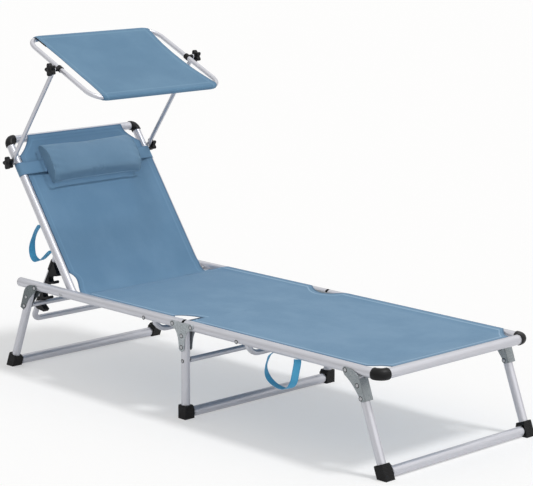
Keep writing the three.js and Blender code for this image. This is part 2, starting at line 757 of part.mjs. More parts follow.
const bailToBrace = braceFromBailPivot();
const rackLastNotch = Math.sqrt(bailToBrace.lengthSq() - rackNotchOut ** 2);
const bailLean = THREE.MathUtils.radToDeg(
  Math.atan2(rackNotchOut, rackLastNotch) - Math.atan2(bailToBrace.x, -bailToBrace.y),
);

function rackShape() {
  const notchRadius = braceRadius + rackNotchGap;
  const firstNotch = rackLastNotch - rackPitch * (rackNotches - 1);
  const shape = new THREE.Shape();
  shape.moveTo(0, rackTopUp - firstNotch);
  shape.lineTo(rackShoulderOut, rackTopUp - firstNotch);
  for (let k = 0; k < rackNotches; k += 1) {
    const z = -firstNotch - k * rackPitch;
    shape.lineTo(rackTipOut, z + rackTipUp);
    shape.lineTo(rackTipOut, z + rackTipUp - rackTipWidth);
    for (let step = 0; step <= cutSteps; step += 1) {
      const from = 90 + rackNotchSlope;
      const angle = rad(from + ((270 - from) * step) / cutSteps);
      shape.lineTo(rackNotchOut + notchRadius * Math.cos(angle), z + notchRadius * Math.sin(angle));
    }
  }
  const foot = -rackLastNotch - notchRadius;
  shape.lineTo(rackHookOut, foot - rackNotchGap);
  shape.lineTo(rackHookOut, foot - rackHookThickness);
  shape.lineTo(0, -rackLastNotch - rackFootDown);
  return shape;
}

function rack(side) {
  const half = rackThickness / 2;
  const body = plateXZ(rackShape(), side * bailHalfSpacing - half, side * bailHalfSpacing + half);
  const ends = [0, -2 * bailLength].map((z) => [0, side * bailHalfSpacing, z]);
  return cut(body, bentTube(ends, 0, alongX, bailRadius + fitGap, 0));
}

function supportBail() {
  const group = hingedAt(-bailPivotBehind, bailPivotUp, bailLean);
  const corners = [
    [0, -bailHalfSpacing, bailHead], [0, -bailHalfSpacing, -bailLength],
    [0, bailHalfSpacing, -bailLength], [0, bailHalfSpacing, bailHead],
  ];
  const [low, high] = [bailHalfSpacing - bailRadius, bailHalfSpacing + bailRadius];
  const holes = sides.map(([, side]) => pinHole(pivotPinRadius, 0, 0, side, low, high));
  const tube = cut(bentTube(corners, bailBendRadius, alongX, bailRadius), ...holes);
  addTo(group, 'support_bail', tube, 'aluminium');
  for (const [where, side] of sides) addTo(group, `bail_rack_${where}`, rack(side), 'blackPlastic');
  return group;
}

// Pillow: two crowned faces that meet in a seam whose sides are drawn in between the corners
function pillow() {
  const { across, up } = pillowSteps;
  const positions = [];
  const index = [];
  const edge = (share) => Math.max(0, 1 - Math.abs(share) ** 3) ** (1 / 2);
  const point = (i, j, front) => {
    const a = (2 * i) / across - 1;
    const b = (2 * j) / up - 1;
    const y = a * (pillowLength / 2 - pillowDrawIn * (1 - b ** 2));
    const z = pillowUp + b * (pillowHeight / 2 - pillowDrawIn * (1 - a ** 2) / 2);
    const crown = edge(a) * edge(b);
    const behind = pillowThickness * (1 - pillowCrownShare);
    const x = front
      ? behind + pillowSeam + (pillowThickness - behind - pillowSeam) * crown
      : behind * (1 - crown);
    return [pillowBase + x, y, z];
  };
  for (const front of [true, false]) {
    for (let i = 0; i < across; i += 1) {
      for (let j = 0; j < up; j += 1) {
        const corners = [[i, j], [i + 1, j], [i + 1, j + 1], [i, j + 1]];
        const first = positions.length / 3;
        corners.forEach(([m, n]) => positions.push(...point(m, n, front)));
        const order = front ? [0, 1, 2, 0, 2, 3] : [0, 2, 1, 0, 3, 2];
        index.push(...order.map((k) => first + k));
      }
    }
  }
  const rim = [];
  for (let i = 0; i < across; i += 1) rim.push([i, 0]);
  for (let j = 0; j < up; j += 1) rim.push([across, j]);
  for (let i = across; i > 0; i -= 1) rim.push([i, up]);
  for (let j = up; j > 0; j -= 1) rim.push([0, j]);
  rim.forEach(([i, j], k) => {
    const [m, n] = rim[(k + 1) % rim.length];
    const first = positions.length / 3;
    const [low, high] = [[point(i, j, false), point(m, n, false)], [point(m, n, true), point(i, j, true)]];
    positions.push(...low.flat(), ...high.flat());
    index.push(first, first + 1, first + 2, first, first + 2, first + 3);
  });
  const geometry = new THREE.BufferGeometry();
  geometry.setAttribute('position', new THREE.Float32BufferAttribute(positions, 3));
  geometry.setIndex(index);
  const merged = mergeVertices(geometry);
  merged.computeVertexNormals();
  return merged;
}

// The pillow's band runs over the cloth and turns round both back rails
const bandInner = backRadius + 2 * fitGap;
const bandOuter = bandInner + bandThickness;
const pillowBase = bandOuter + fitGap;

function pillowBand() {
  const wrap = Math.PI * (1 / 2 + bandWrapShare);
  const shape = new THREE.Shape();
  shape.absarc(0, -backHalfSpacing, bandOuter, -wrap, 0);
  shape.absarc(0, backHalfSpacing, bandOuter, 0, wrap);
  shape.absarc(0, backHalfSpacing, bandInner, wrap, 0, true);
  shape.absarc(0, -backHalfSpacing, bandInner, 0, -wrap, true);
  return plateXY(shape, bandUp - bandHeight / 2, bandHeight);
}

// Canopy arms, hinged on the back frame at the lower knobs
function canopyArm(side) {
  const y = side * armHalfSpacing;
  const eye = (z, up) => {
    const shape = new THREE.Shape();
    shape.absarc(0, z, armEyeRadius, up > 0 ? Math.PI : 0, up > 0 ? 2 * Math.PI : Math.PI);
    shape.lineTo(up * armRadius, z + up * armFlatLength);
    shape.lineTo(-up * armRadius, z + up * armFlatLength);
    return plateXZ(shape, y - armFlat / 2, y + armFlat / 2);
  };
  const ends = [armFlatLength - overrun, armLength - armFlatLength + overrun];
  const tube = bentTube(ends.map((z) => [0, y, z]), 0, alongX, armRadius);
  const holes = [0, armLength].map((z) =>
    pinHole(knobScrewRadius, 0, z, side, armHalfSpacing, armHalfSpacing));
  return cut(join(tube, eye(0, 1), eye(armLength, -1)), ...holes);
}

// A star knob on its screw, turned about Y; the screw reaches in to the given depth
function starKnob(side, z, screwEnd, washer) {
  const armOut = armHalfSpacing + armFlat / 2 + fitGap;
  const armIn = armHalfSpacing - armFlat / 2 - fitGap;
  const starIn = armOut + knobHubLength;
  const shape = new THREE.Shape();
  const count = knobLobes * knobLobeSteps;
  for (let k = 0; k < count; k += 1) {
    const angle = (2 * Math.PI * k) / count;
    const wave = (1 + Math.cos(knobLobes * angle)) / 2;
    const radius = knobValley + (knobRadius - knobValley) * wave;
    const [x, up] = [radius * Math.cos(angle), z + radius * Math.sin(angle)];
    if (k === 0) shape.moveTo(x, up);
    else shape.lineTo(x, up);
  }
  const pieces = [
    plateXZ(shape, side * starIn, side * (starIn + knobThickness)),
    crossRod(knobHubRadius, 0, z, side * armOut, side * starIn),
    crossRod(knobScrewRadius, 0, z, side * screwEnd, side * starIn),
  ];
  if (washer) pieces.push(crossRod(knobWasherRadius, 0, z, side * washer, side * armIn));
  return join(...pieces);
}

function canopyArms() {
  const group = hingedAt(0, armPivotUp, armLean);
  const backOut = backHalfSpacing + backRadius + fitGap;
  for (const [where, side] of sides) {
    addTo(group, `canopy_arm_${where}`, canopyArm(side), 'aluminium');
    const lower = starKnob(side, 0, backOut - knobScrewInside, backOut);
    const upper = starKnob(side, armLength, canopyHalfWidth + canopyTubeRadius + 2 * fitGap, 0);
    addTo(group, `lower_knob_${where}`, lower, 'blackPlastic');
    addTo(group, `upper_knob_${where}`, upper, 'blackPlastic');
  }
  const canopy = hingedAt(0, armLength, canopyLean);
  addTo(canopy, 'canopy_frame', canopyFrame(), 'aluminium');
  addTo(canopy, 'canopy_cloth', canopyCloth(), 'canopyCloth');
  for (const [where, side] of sides) addTo(canopy, `canopy_clamp_${where}`, clamp(side), 'blackPlastic');
  group.add(canopy);
  return group;
}

// Canopy frame: one tube bent to a rectangle, butted inside the rear sleeve
function canopyFrame() {
  const [l, w, gap] = [canopyHalfLength, canopyHalfWidth, canopyJointGap / 2];
  const corners = [[-l, gap, 0], [-l, w, 0], [l, w, 0], [l, -w, 0], [-l, -w, 0], [-l, -gap, 0]];
  return bentTube(corners, canopyBendRadius, alongZ, canopyTubeRadius);
}

function canopyCloth() {
  const inner = canopyTubeRadius + sleeveGap;
  const outer = inner + sleeveWall;
  const straight = canopyHalfWidth - canopyBendRadius;
  const [l, half] = [canopyHalfLength, canopyClothHalf];
  const shape = new THREE.Shape();
  shape.moveTo(-l, -half);
  shape.quadraticCurveTo(0, 2 * canopyClothWaist - half, l, -half);
  shape.lineTo(l, half);
  shape.quadraticCurveTo(0, half - 2 * canopyClothWaist, -l, half);
  const sheet = plateXY(shape, inner, sleeveWall);
  const sleeves = [-l, l].map((x) => {
    const ends = [[x, -straight, 0], [x, straight, 0]];
    return bentTube(ends, 0, alongX, outer, sleeveWall);
  });
  return join(sheet, ...sleeves);
}

// The clamp that holds the canopy frame to an arm
function clamp(side) {
  const bore = canopyTubeRadius + fitGap;
  const ends = [-clampLength / 2, clampLength / 2].map((x) => [x, side * canopyHalfWidth, 0]);
  const collar = bentTube(ends, 0, alongY, bore + clampWall, 0);
  const armIn = armHalfSpacing - armFlat / 2 - fitGap;
  const boss = crossRod(clampBossRadius, 0, 0, side * canopyHalfWidth, side * armIn);
  const tubeRoom = ends.map(([x, y, z]) => [x + Math.sign(x) * overrun, y, z]);
  return cut(
    join(collar, boss),
    bentTube(tubeRoom, 0, alongY, bore, 0),
    crossRod(knobScrewRadius + pinGap, 0, 0, side * canopyHalfWidth, side * (armIn + overrun)),
  );
}

const lounger = new THREE.Group();
lounger.add(
  middleLeg(),
  seatFrame(),
  footFrame(),
  leaningLeg('rear', -1, rearFootOut, rearBraceDown),
  leaningLeg('front', 1, frontFootOut, 0),
  backFrame(),
);
lounger.updateMatrixWorld(true);
const box = new THREE.Box3().setFromObject(lounger, true);
lounger.position.set(-(box.min.x + box.max.x) / 2, -(box.min.y + box.max.y) / 2, -box.min.z);

export default lounger;
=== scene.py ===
import math

import bmesh
import bpy
from mathutils import Matrix, Vector, noise
from mathutils.bvhtree import BVHTree


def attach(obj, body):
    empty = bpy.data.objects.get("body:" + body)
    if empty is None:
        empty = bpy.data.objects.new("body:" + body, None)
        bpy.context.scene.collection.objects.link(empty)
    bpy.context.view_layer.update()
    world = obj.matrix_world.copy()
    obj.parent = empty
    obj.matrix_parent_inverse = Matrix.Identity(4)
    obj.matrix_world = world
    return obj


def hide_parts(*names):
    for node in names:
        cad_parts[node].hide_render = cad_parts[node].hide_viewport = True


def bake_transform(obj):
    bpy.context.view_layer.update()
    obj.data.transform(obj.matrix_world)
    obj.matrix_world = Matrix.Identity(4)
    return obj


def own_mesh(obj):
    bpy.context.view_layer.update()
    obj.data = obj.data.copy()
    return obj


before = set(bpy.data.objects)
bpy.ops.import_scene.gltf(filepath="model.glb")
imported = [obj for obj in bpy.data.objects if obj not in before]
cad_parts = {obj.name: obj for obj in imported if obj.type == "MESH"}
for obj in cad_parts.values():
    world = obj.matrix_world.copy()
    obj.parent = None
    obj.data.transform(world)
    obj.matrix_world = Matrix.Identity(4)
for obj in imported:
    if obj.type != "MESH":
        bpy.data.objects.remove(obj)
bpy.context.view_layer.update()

# Studio. A pale floor, one soft key light overhead and a white room. The camera stands low and
# to the right of the foot end, on a long lens.
scene = bpy.context.scene
scene.view_settings.view_transform = "Standard"


class Wire:
    """The output of a node. Arithmetic on it adds Math nodes."""

    def __init__(self, finish, socket):
        self.finish, self.socket = finish, socket

    def math(self, operation, a, b=0.0):
        return self.finish.node("Math", {"operation": operation}, {0: a, 1: b})

    def __add__(self, other):
        return self.math("ADD", self, other)

    def __sub__(self, other):
        return self.math("SUBTRACT", self, other)

    def __mul__(self, other):
        return self.math("MULTIPLY", self, other)

    def __abs__(self):
        return self.math("ABSOLUTE", self)


class Finish:
    """A material in the making."""

    def __init__(self, name, tree=None):
        if tree is None:
            self.material = bpy.data.materials.new(name)
            self.material.use_nodes = True
            tree = self.material.node_tree
            self.shader = tree.nodes["Principled BSDF"]
        self.tree = tree

    def node(self, kind, settings=None, inputs=None, output=0):
        """Add a node: its settings first, then the values or links of its sockets."""
        node = self.tree.nodes.new("ShaderNode" + kind)
        for key, value in (settings or {}).items():
            setattr(node, key, value)
        for key, value in (inputs or {}).items():
            self.feed(node.inputs[key], value)
        return Wire(self, node.outputs[output])

    def feed(self, socket, value):
        """Link a wire to a socket, or set a plain value on it."""
        if isinstance(value, Wire):
            self.tree.links.new(value.socket, socket)
        else:
            socket.default_value = value

    def surface(self, **inputs):
        """Set the shader's own sockets, by names with underscores for spaces."""
        for key, value in inputs.items():
            self.feed(self.shader.inputs[key.replace("_", " ")], value)
        return self.material

    def attribute(self, name="lay"):
        return self.node("Attribute", {"attribute_name": name}, output="Vector")

    def place(self):
        return self.node("TexCoord", output="Object")

    def stretch(self, vector, scale):
        return self.node("VectorMath", {"operation": "MULTIPLY"}, {0: vector, 1: scale})

    def part(self, vector, axis):
        return self.node("SeparateXYZ", inputs={0: vector}, output=axis)

    def noise(self, vector, scale, detail=2.0, roughness=0.5):
        values = {"Vector": vector, "Scale": scale, "Detail": detail, "Roughness": roughness}
        return self.node("TexNoise", inputs=values)

    def blend(self, share, a, b):
        return self.node("Mix", {"data_type": "RGBA"}, {0: share, 6: a, 7: b}, output=2)

    def ease(self, value, low, high, to_low=0.0, to_high=1.0):
        values = {0: value, 1: low, 2: high, 3: to_low, 4: to_high}
        return self.node("MapRange", {"interpolation_type": "SMOOTHSTEP"}, values)

    def waves(self, value, pitch):
        return self.node("Math", {"operation": "SINE"}, {0: value * (2 * math.pi / pitch)})

    def bump(self, height, strength, distance):
        return self.node("Bump", inputs={"Height": height, "Strength": strength, "Distance": distance})


def shade(red, green, blue):
    """A colour as it looks, from 0 to 255, turned into the linear values that sockets take."""
    values = [c / 255 for c in (red, green, blue)]
    return [c / 12.92 if c < 0.04045 else ((c + 0.055) / 1.055) ** 2.4 for c in values] + [1]


azimuth, elevation, roll = math.radians(45.935), math.radians(11.340), math.radians(0.312)
back_to_camera = Vector((
    math.sin(azimuth) * math.cos(elevation),
    -math.cos(azimuth) * math.cos(elevation),
    math.sin(elevation),
))
level_right = Vector((math.cos(azimuth), math.sin(azimuth), 0))
level_up = back_to_camera.cross(level_right)
camera_axes = Matrix((
    level_right * math.cos(roll) + level_up * math.sin(roll),
    level_up * math.cos(roll) - level_right * math.sin(roll),
    back_to_camera,
)).transposed().to_4x4()
camera = bpy.data.objects.new("camera", bpy.data.cameras.new("camera"))
camera.data.sensor_fit = "HORIZONTAL"
camera.data.sensor_width = 36
camera.data.lens = 136.575
camera.matrix_world = Matrix.Translation((4.1599, -3.9588, 1.6120)) @ camera_axes
scene.collection.objects.link(camera)
scene.camera = camera

sky_light = 0.55
world = bpy.data.worlds.new("white_room")
world.use_nodes = True
scene.world = world
room = Finish("room", world.node_tree)
seen = room.node("LightPath", output="Is Camera Ray") + room.node("LightPath", output="Is Transmission Ray")
mirrored = room.node("LightPath", output="Is Glossy Ray")
outlook = room.node("TexCoord", output="Generated")
foot_side = room.node("VectorMath", {"operation": "DOT_PRODUCT"}, {0: outlook, 1: (0.93, 0.05, 0.36)},
                      "Value")
walls = room.ease(foot_side, 0.62, 0.93, 0.0, 0.75) + room.ease(room.part(outlook, 2), -0.1, 0.85, 0.55,
                                                                1.15)
strength = seen * (1 - sky_light) + mirrored * (walls - sky_light) + sky_light
background = world.node_tree.nodes["Background"]
room.feed(background.inputs["Color"], (1, 0.99, 0.975, 1))
room.feed(background.inputs["Strength"], strength)

key_light = bpy.data.objects.new("key_light", bpy.data.lights.new("key_light", "SUN"))
key_light.data.energy = 1.45
key_light.data.angle = math.radians(12)
key_light.matrix_world = Vector((0.44, 0.20, 1)).to_track_quat("Z", "Y").to_matrix().to_4x4()
scene.collection.objects.link(key_light)

floor_half = 40.0
floor_mesh = bmesh.new()
bmesh.ops.create_grid(floor_mesh, x_segments=1, y_segments=1, size=floor_half)
floor = bpy.data.objects.new("floor", bpy.data.meshes.new("floor"))
floor_mesh.to_mesh(floor.data)
floor_mesh.free()
scene.collection.objects.link(floor)
paper = Finish("pale_floor")
paper.surface(Base_Color=shade(252, 252, 252), Roughness=0.9, Specular_IOR_Level=0.0)
glow = paper.node("Emission", inputs={"Color": (1, 1, 1, 1), "Strength": 1.07})
looked_at = paper.node("LightPath", output="Is Camera Ray") + paper.node("LightPath",
                                                                         output="Is Glossy Ray")
lit = paper.node("MixShader", inputs={0: looked_at * 0.36, 1: Wire(paper, paper.shader.outputs[0]),
                                      2: glow})
paper.feed(paper.tree.nodes["Material Output"].inputs["Surface"], lit)
floor.data.materials.append(paper.material)

# Middle leg. One round aluminium tube, satin anodised, bent twice into a U that stands on its
# foot bar. A thin cross brace low down keeps the two uprights apart.
tube_wall = 0.0013
clearance = 0.0003
leg_radius = 0.0125
leg_side = 0.287
leg_bend = 0.026
brace_radius = 0.008

satin = Finish("satin_aluminium")
drawn = satin.noise(satin.stretch(satin.attribute(), (1, 1, 0.02)), 1100.0, 3.0, 0.6)
cloud = satin.noise(satin.place(), 9.0, 3.0)
satin.surface(
    Base_Color=satin.blend(satin.ease(drawn, 0.3, 0.7), shade(194, 195, 202), shade(205, 206, 213)),
    Metallic=0.55,
    Roughness=satin.ease(cloud, 0.3, 0.7, 0.31, 0.38) + drawn * 0.06,
    Normal=satin.bump(drawn, 0.12, 0.00006),
)


def fresh(geometry, kind=bmesh.types.BMVert):
    """The vertices or edges among what an operator returns."""
    return [item for item in geometry if isinstance(item, kind)]


def ring_of(geometry):
    """The vertices that an operator made, and the edges of the ring that they form."""
    verts = fresh(geometry)
    known = set(verts)
    edges = [e for e in fresh(geometry, bmesh.types.BMEdge) if all(v in known for v in e.verts)]
    return verts, edges


def first_ring(bm, radius, place, around):
    """A ring of vertices that remember where they lie round the tube."""
    lay = bm.verts.layers.float_vector.get("lay") or bm.verts.layers.float_vector.new("lay")
    verts = bmesh.ops.create_circle(bm, segments=around, radius=radius, matrix=place)["verts"]
    for v in verts:
        v[lay] = place.inverted() @ v.co
    return verts, list(dict.fromkeys(e for v in verts for e in v.link_edges)), lay


def mouth(bm, ring, outward, radius, wall, depth=0.012):
    """Turn the open end of a tube in over its wall and close it a little way down."""
    centre = sum((v.co for v in ring[0]), Vector()) / len(ring[0])
    lip = ring_of(bmesh.ops.extrude_edge_only(bm, edges=ring[1])["geom"])
    inner = (radius - wall) / radius
    bmesh.ops.scale(bm, vec=(inner,) * 3, space=Matrix.Translation(-centre), verts=lip[0])
    down = ring_of(bmesh.ops.extrude_edge_only(bm, edges=lip[1])["geom"])
    bmesh.ops.translate(bm, vec=-outward * depth, verts=down[0])
    bmesh.ops.contextual_create(bm, geom=down[1])


def bent_tube(bm, corners, bend, radius, wall=tube_wall, around=32, bend_steps=9, depth=0.012):
    """A round tube through the corners, bent to one radius at each, with an open mouth at both ends."""
    points = [Vector(corner) for corner in corners]
    headings = [(b - a).normalized() for a, b in zip(points, points[1:])]
    facing = Vector((0, 0, 1)).rotation_difference(headings[0]).to_matrix().to_4x4()
    verts, edges, lay = first_ring(bm, radius, Matrix.Translation(points[0]) @ facing, around)
    start, here = (list(verts), list(edges)), points[0]
    for i, heading in enumerate(headings):
        end = points[i + 1]
        if i + 1 < len(headings):
            turn = heading.angle(headings[i + 1])
            end = end - heading * bend * math.tan(turn / 2)
        run = (end - here).length
        verts, edges = ring_of(bmesh.ops.extrude_edge_only(bm, edges=edges)["geom"])
        bmesh.ops.translate(bm, vec=heading * run, verts=verts)
        for v in verts:
            v[lay].z += run
        here = end
        if i + 1 < len(headings):
            ahead = headings[i + 1]
            inward = (ahead - heading * ahead.dot(heading)).normalized()
            hub = here + inward * bend
            for _ in range(bend_steps):
                turned = bmesh.ops.spin(
                    bm, geom=verts + edges, cent=hub, axis=heading.cross(ahead).normalized(),
                    angle=turn / bend_steps, steps=1, use_duplicate=False,
                )["geom_last"]
                verts, edges = ring_of(turned)
                for v in verts:
                    v[lay].z += bend * turn / bend_steps
            here = points[i + 1] + ahead * bend * math.tan(turn / 2)
    mouth(bm, start, -headings[0], radius, wall, depth)
    mouth(bm, (verts, edges), headings[-1], radius, wall, depth)


def hinged(x, z, lean):
    """The axes of a group that turns about Y at x, z and leans by so many degrees."""
    return Matrix.Translation((x, 0, z)) @ Matrix.Rotation(math.radians(lean), 4, "Y")


def piece(name, bm, material, body, nodes=(), axes=Matrix(), crease=38, flat=False):
    """Make a mesh a piece: its finish, the body it moves with and the CAD nodes it stands for."""
    bm.transform(axes)
    bmesh.ops.recalc_face_normals(bm, faces=bm.faces)
    mesh = bpy.data.meshes.new(name)
    bm.to_mesh(mesh)
    bm.free()
    mesh.materials.append(material)
    mesh.shade_smooth()
    mesh.set_sharp_from_angle(angle=math.radians(crease))
    obj = bpy.data.objects.new(name, mesh)
    scene.collection.objects.link(obj)
    if flat:
        obj.modifiers.new("even_faces", "WEIGHTED_NORMAL").keep_sharp = True
    if body:
        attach(obj, body)
    if nodes:
        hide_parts(*nodes)
    return obj


def tube_piece(name, corners, bend, radius, body, nodes, axes, **shape):
    """One round aluminium tube that is a piece by itself."""
    bm = bmesh.new()
    bent_tube(bm, corners, bend, radius, **shape)
    piece(name, bm, satin.material, body, nodes, axes)


def u_shape(x, side, ends, bar):
    """The corners of a U tube: its two ends at one height and the bar between them at another."""
    return [(x, -side, ends), (x, -side, bar), (x, side, bar), (x, side, ends)]


def side_to_side(x, reach, z):
    """The two ends of a straight tube from side to side."""
    return [(x, -reach, z), (x, reach, z)]


middle = hinged(0.04182, 0.272, 0)
middle_top, middle_foot = -0.015, -0.257
tube_piece("middle_leg_tube", u_shape(0, leg_side, middle_top, middle_foot), leg_bend, leg_radius,
           "middle_leg", ["middle_leg"], middle)

floor_bar_radius = 0.0144
floor_bar_reach = leg_side - 0.024


def floor_bar(name, x, foot, body, axes):
    """The wider tube pressed over a leg's foot bar, its ends hidden in the shoes."""
    tube_piece(name, side_to_side(x, floor_bar_reach, foot), 0, floor_bar_radius, body, (), axes)


floor_bar("middle_leg_floor_bar", 0, middle_foot, "middle_leg", middle)

middle_brace_down = 0.104
brace_reach = leg_side - leg_radius - clearance
tube_piece("middle_leg_cross_brace", side_to_side(0, brace_reach, -middle_brace_down), 0, brace_radius,
           "middle_leg", ["middle_leg_brace"], middle, around=24)

# Shoes of the three legs. Moulded black plastic, pushed over each bend of a foot bar, with a flat
# sole on the floor and a softened block round the corner.
shoe_reach = 0.0152
shoe_inward = 0.0195
shoe_up = 0.0245
shoe_corner = 0.007
shoe_edge = 0.0058
rib_pitch = 0.0042

black = Finish("black_moulded_plastic")
grain = black.noise(black.place(), 2200.0, 2.0)
scuffs = black.noise(black.place(), 60.0, 4.0, 0.7)
black.surface(
    Base_Color=black.blend(black.ease(scuffs, 0.45, 0.75), shade(11, 11, 13), shade(20, 20, 23)),
    Specular_IOR_Level=0.22,
    Roughness=black.ease(scuffs, 0.3, 0.8, 0.40, 0.56),
    Normal=black.bump(grain, 0.25, 0.00008),
)

ribbed = Finish("black_ribbed_plastic")
grooves = ribbed.waves(ribbed.part(ribbed.place(), 2), rib_pitch)
dust = ribbed.noise(ribbed.place(), 80.0, 4.0, 0.7)
ribbed.surface(
    Base_Color=ribbed.blend(ribbed.ease(dust, 0.45, 0.75), shade(9, 9, 11), shade(22, 22, 25)),
    Specular_IOR_Level=0.2,
    Roughness=ribbed.ease(dust, 0.3, 0.8, 0.38, 0.55),
    Normal=ribbed.bump(ribbed.ease(grooves, -0.2, 0.6), 0.7, 0.0009),
)


def soft_edges(bm, edges, radius, segments):
    """Round these edges to a small radius."""
    bmesh.ops.bevel(bm, geom=edges, offset=radius, segments=segments, profile=0.5, affect="EDGES",
                    material=-1, clamp_overlap=True)


def slab(bm, outline, start, stop, lies="XZ", soften=0.0006, rounds=2):
    """A flat plate: its outline in one plane, from start to stop along the third axis, edges softened."""
    order, along = {
        "XZ": ((0, 2, 1), (0, 1, 0)), "YZ": ((2, 0, 1), (1, 0, 0)), "XY": ((0, 1, 2), (0, 0, 1)),
    }[lies]
    base = bm.faces.new([bm.verts.new([(a, b, start)[i] for i in order]) for a, b in outline])
    rim = list(base.edges)
    grown = bmesh.ops.extrude_face_region(bm, geom=[base])["geom"]
    bmesh.ops.translate(bm, vec=Vector(along) * (stop - start), verts=fresh(grown))
    rim += list(fresh(grown, bmesh.types.BMFace)[0].edges)
    if soften:
        soft_edges(bm, rim, soften, rounds)


def shoe(name, side, axes, x, foot, body, node):
    """One shoe, cut flat by the floor whatever way its leg leans."""
    outer, inner = leg_side + shoe_reach, leg_side - shoe_inward
    outline = [
        (inner, foot - 0.030), (outer, foot - 0.030), (outer, foot + shoe_up - 0.004),
        (outer - 0.0012, foot + shoe_up), (leg_side - shoe_reach + 0.0012, foot + shoe_up),
        (leg_side - shoe_reach, foot + shoe_up - 0.004),
        (leg_side - shoe_reach, foot + shoe_reach + shoe_corner),
        (leg_side - shoe_reach - 0.4 * shoe_corner, foot + shoe_reach + 0.3 * shoe_corner),
        (leg_side - shoe_reach - shoe_corner, foot + shoe_reach),
        (inner + 0.003, foot + shoe_reach), (inner, foot + shoe_reach - 0.003),
    ]
    bm = bmesh.new()
    slab(bm, [(side * y, z) for y, z in outline], x - shoe_reach, x + shoe_reach, "YZ", 0)
    soft_edges(bm, [e for e in bm.edges if abs(e.calc_face_angle(0)) > 1.2], shoe_edge, 4)
    bm.transform(axes)
    everything = bm.verts[:] + bm.edges[:] + bm.faces[:]
    cut = bmesh.ops.bisect_plane(bm, geom=everything, dist=1e-6, plane_co=(0, 0, 0),
                                 plane_no=(0, 0, 1), clear_inner=True)["geom_cut"]
    bmesh.ops.contextual_create(bm, geom=fresh(cut, bmesh.types.BMEdge))
    return piece(name, bm, ribbed.material, body, [node], flat=True)


sides = (("near", -1), ("far", 1))
for where, side in sides:
    shoe(f"middle_shoe_moulded_{where}", side, middle, 0, middle_foot, "middle_leg", f"middle_shoe_{where}")

# Hinge plates of the middle leg. Zinc plated pressed sheet, one plate outside and one inside each
# side of the frame. The ears carry the rails, and two rivets lower down hold the leg.
sheet_gauge = 0.0022
sheet_gap = 0.0005
rail_radius = 0.014
plate_inside = leg_side - rail_radius - sheet_gap
plate_outside = leg_side + rail_radius + sheet_gap
ear_radius = 0.0095
hinge_half = 0.038
hinge_down = 0.076
hinge_foot_half = 0.0105
hinge_rivets_down = (0.030, 0.063)


def zinc_plated(name, deep, pale):
    """Zinc on pressed steel, mottled in small crystals."""
    zinc = Finish(name)
    spangle = zinc.noise(zinc.place(), 420.0, 3.0, 0.7)
    patches = zinc.node("TexVoronoi", inputs={"Vector": zinc.place(), "Scale": 260.0}, output="Color")
    return zinc.surface(
        Base_Color=zinc.blend(zinc.ease(spangle, 0.35, 0.65), deep, pale),
        Metallic=0.8,
        Roughness=zinc.ease(zinc.part(patches, 0), 0.0, 1.0, 0.36, 0.5),
        Normal=zinc.bump(spangle, 0.25, 0.00012),
    )


# The same zinc plating in three tones, lit and shaded copies: this lightest one, with painted light, for
# the hinge plates and the bail's ears.
zinc_painted_light = zinc_plated("zinc_plate", shade(144, 151, 155), shade(182, 188, 192))
steel = Finish("plated_steel")
turned = steel.noise(steel.place(), 700.0, 2.0)
steel.surface(
    Base_Color=steel.blend(turned, shade(160, 162, 166), shade(188, 190, 194)),
    Metallic=0.9,
    Roughness=steel.ease(turned, 0.3, 0.7, 0.28, 0.36),
    Normal=steel.bump(turned, 0.1, 0.00005),
)


def spun(bm, profile, centre, outward, around=20):
    """A turned shape: radius and height pairs spun once round an axis through the centre."""
    centre, outward = Vector(centre), Vector(outward).normalized()
    turn = Vector((0, 0, 1)).rotation_difference(outward)
    known = set(bm.verts)
    verts = [bm.verts.new(centre + turn @ Vector((r, 0, h))) for r, h in profile]
    edges = [bm.edges.new(pair) for pair in zip(verts, verts[1:])]
    bmesh.ops.spin(bm, geom=verts + edges, cent=centre, axis=outward, angle=2 * math.pi,
                   steps=around, use_merge=True, use_duplicate=False)
    new = [v for v in bm.verts if v not in known]
    bmesh.ops.remove_doubles(bm, verts=new, dist=1e-7)


def rod(radius, length):
    """The profile of a plain cylinder."""
    return [(0, 0), (radius, 0), (radius, length), (0, length)]


def rivet(bm, x, z, y, side, radius=0.0052, rise=0.0018, ring=None):
    """A domed head that stands out from a face at y; where a mesh for it is given, a thin black washer
    round it, whose dark ring also paints the shade round the head.
    """
    profile = [(0, rise), (0.35 * radius, 0.95 * rise), (0.7 * radius, 0.72 * rise),
               (0.93 * radius, 0.35 * rise), (radius, 0), (radius, -0.0004), (0, -0.0004)]
    spun(bm, profile, (x, y, z), (0, side, 0))
    if ring:
        rim = radius + 0.0016
        spun(ring, [(0, 0.0004), (rim - 0.0003, 0.0004), (rim, 0.0001), (rim, -0.0004), (0, -0.0004)],
             (x, y, z), (0, side, 0))


def riveted(name, places, body, axes):
    """The rivets of a group and the black washers below them, their dark rings also painted shade round
    each head, from x, z, y, side and radius.
    """
    rivets, washer_shade_rings = bmesh.new(), bmesh.new()
    for x, z, y, side, radius in places:
        rivet(rivets, x, z, y, side, radius, ring=washer_shade_rings)
    piece(f"{name}_rivets", rivets, steel.material, body, axes=axes)
    # The black washer rings also paint the shade round each rivet head.
    piece(f"{name}_washers", washer_shade_rings, black.material, body, axes=axes)


def arc(x, z, radius, start, stop, steps=12):
    """Points on part of a circle, the angles in degrees."""
    angles = [math.radians(start + (stop - start) * k / steps) for k in range(steps + 1)]
    return [(x + radius * math.cos(a), z + radius * math.sin(a)) for a in angles]


def curve(a, b, c, steps=9):
    """Points of a soft curve from a to c that leans towards b."""
    shares = [k / steps for k in range(steps + 1)]
    return [tuple((1 - t) ** 2 * p + 2 * t * (1 - t) * q + t * t * r for p, q, r in zip(a, b, c))
            for t in shares]


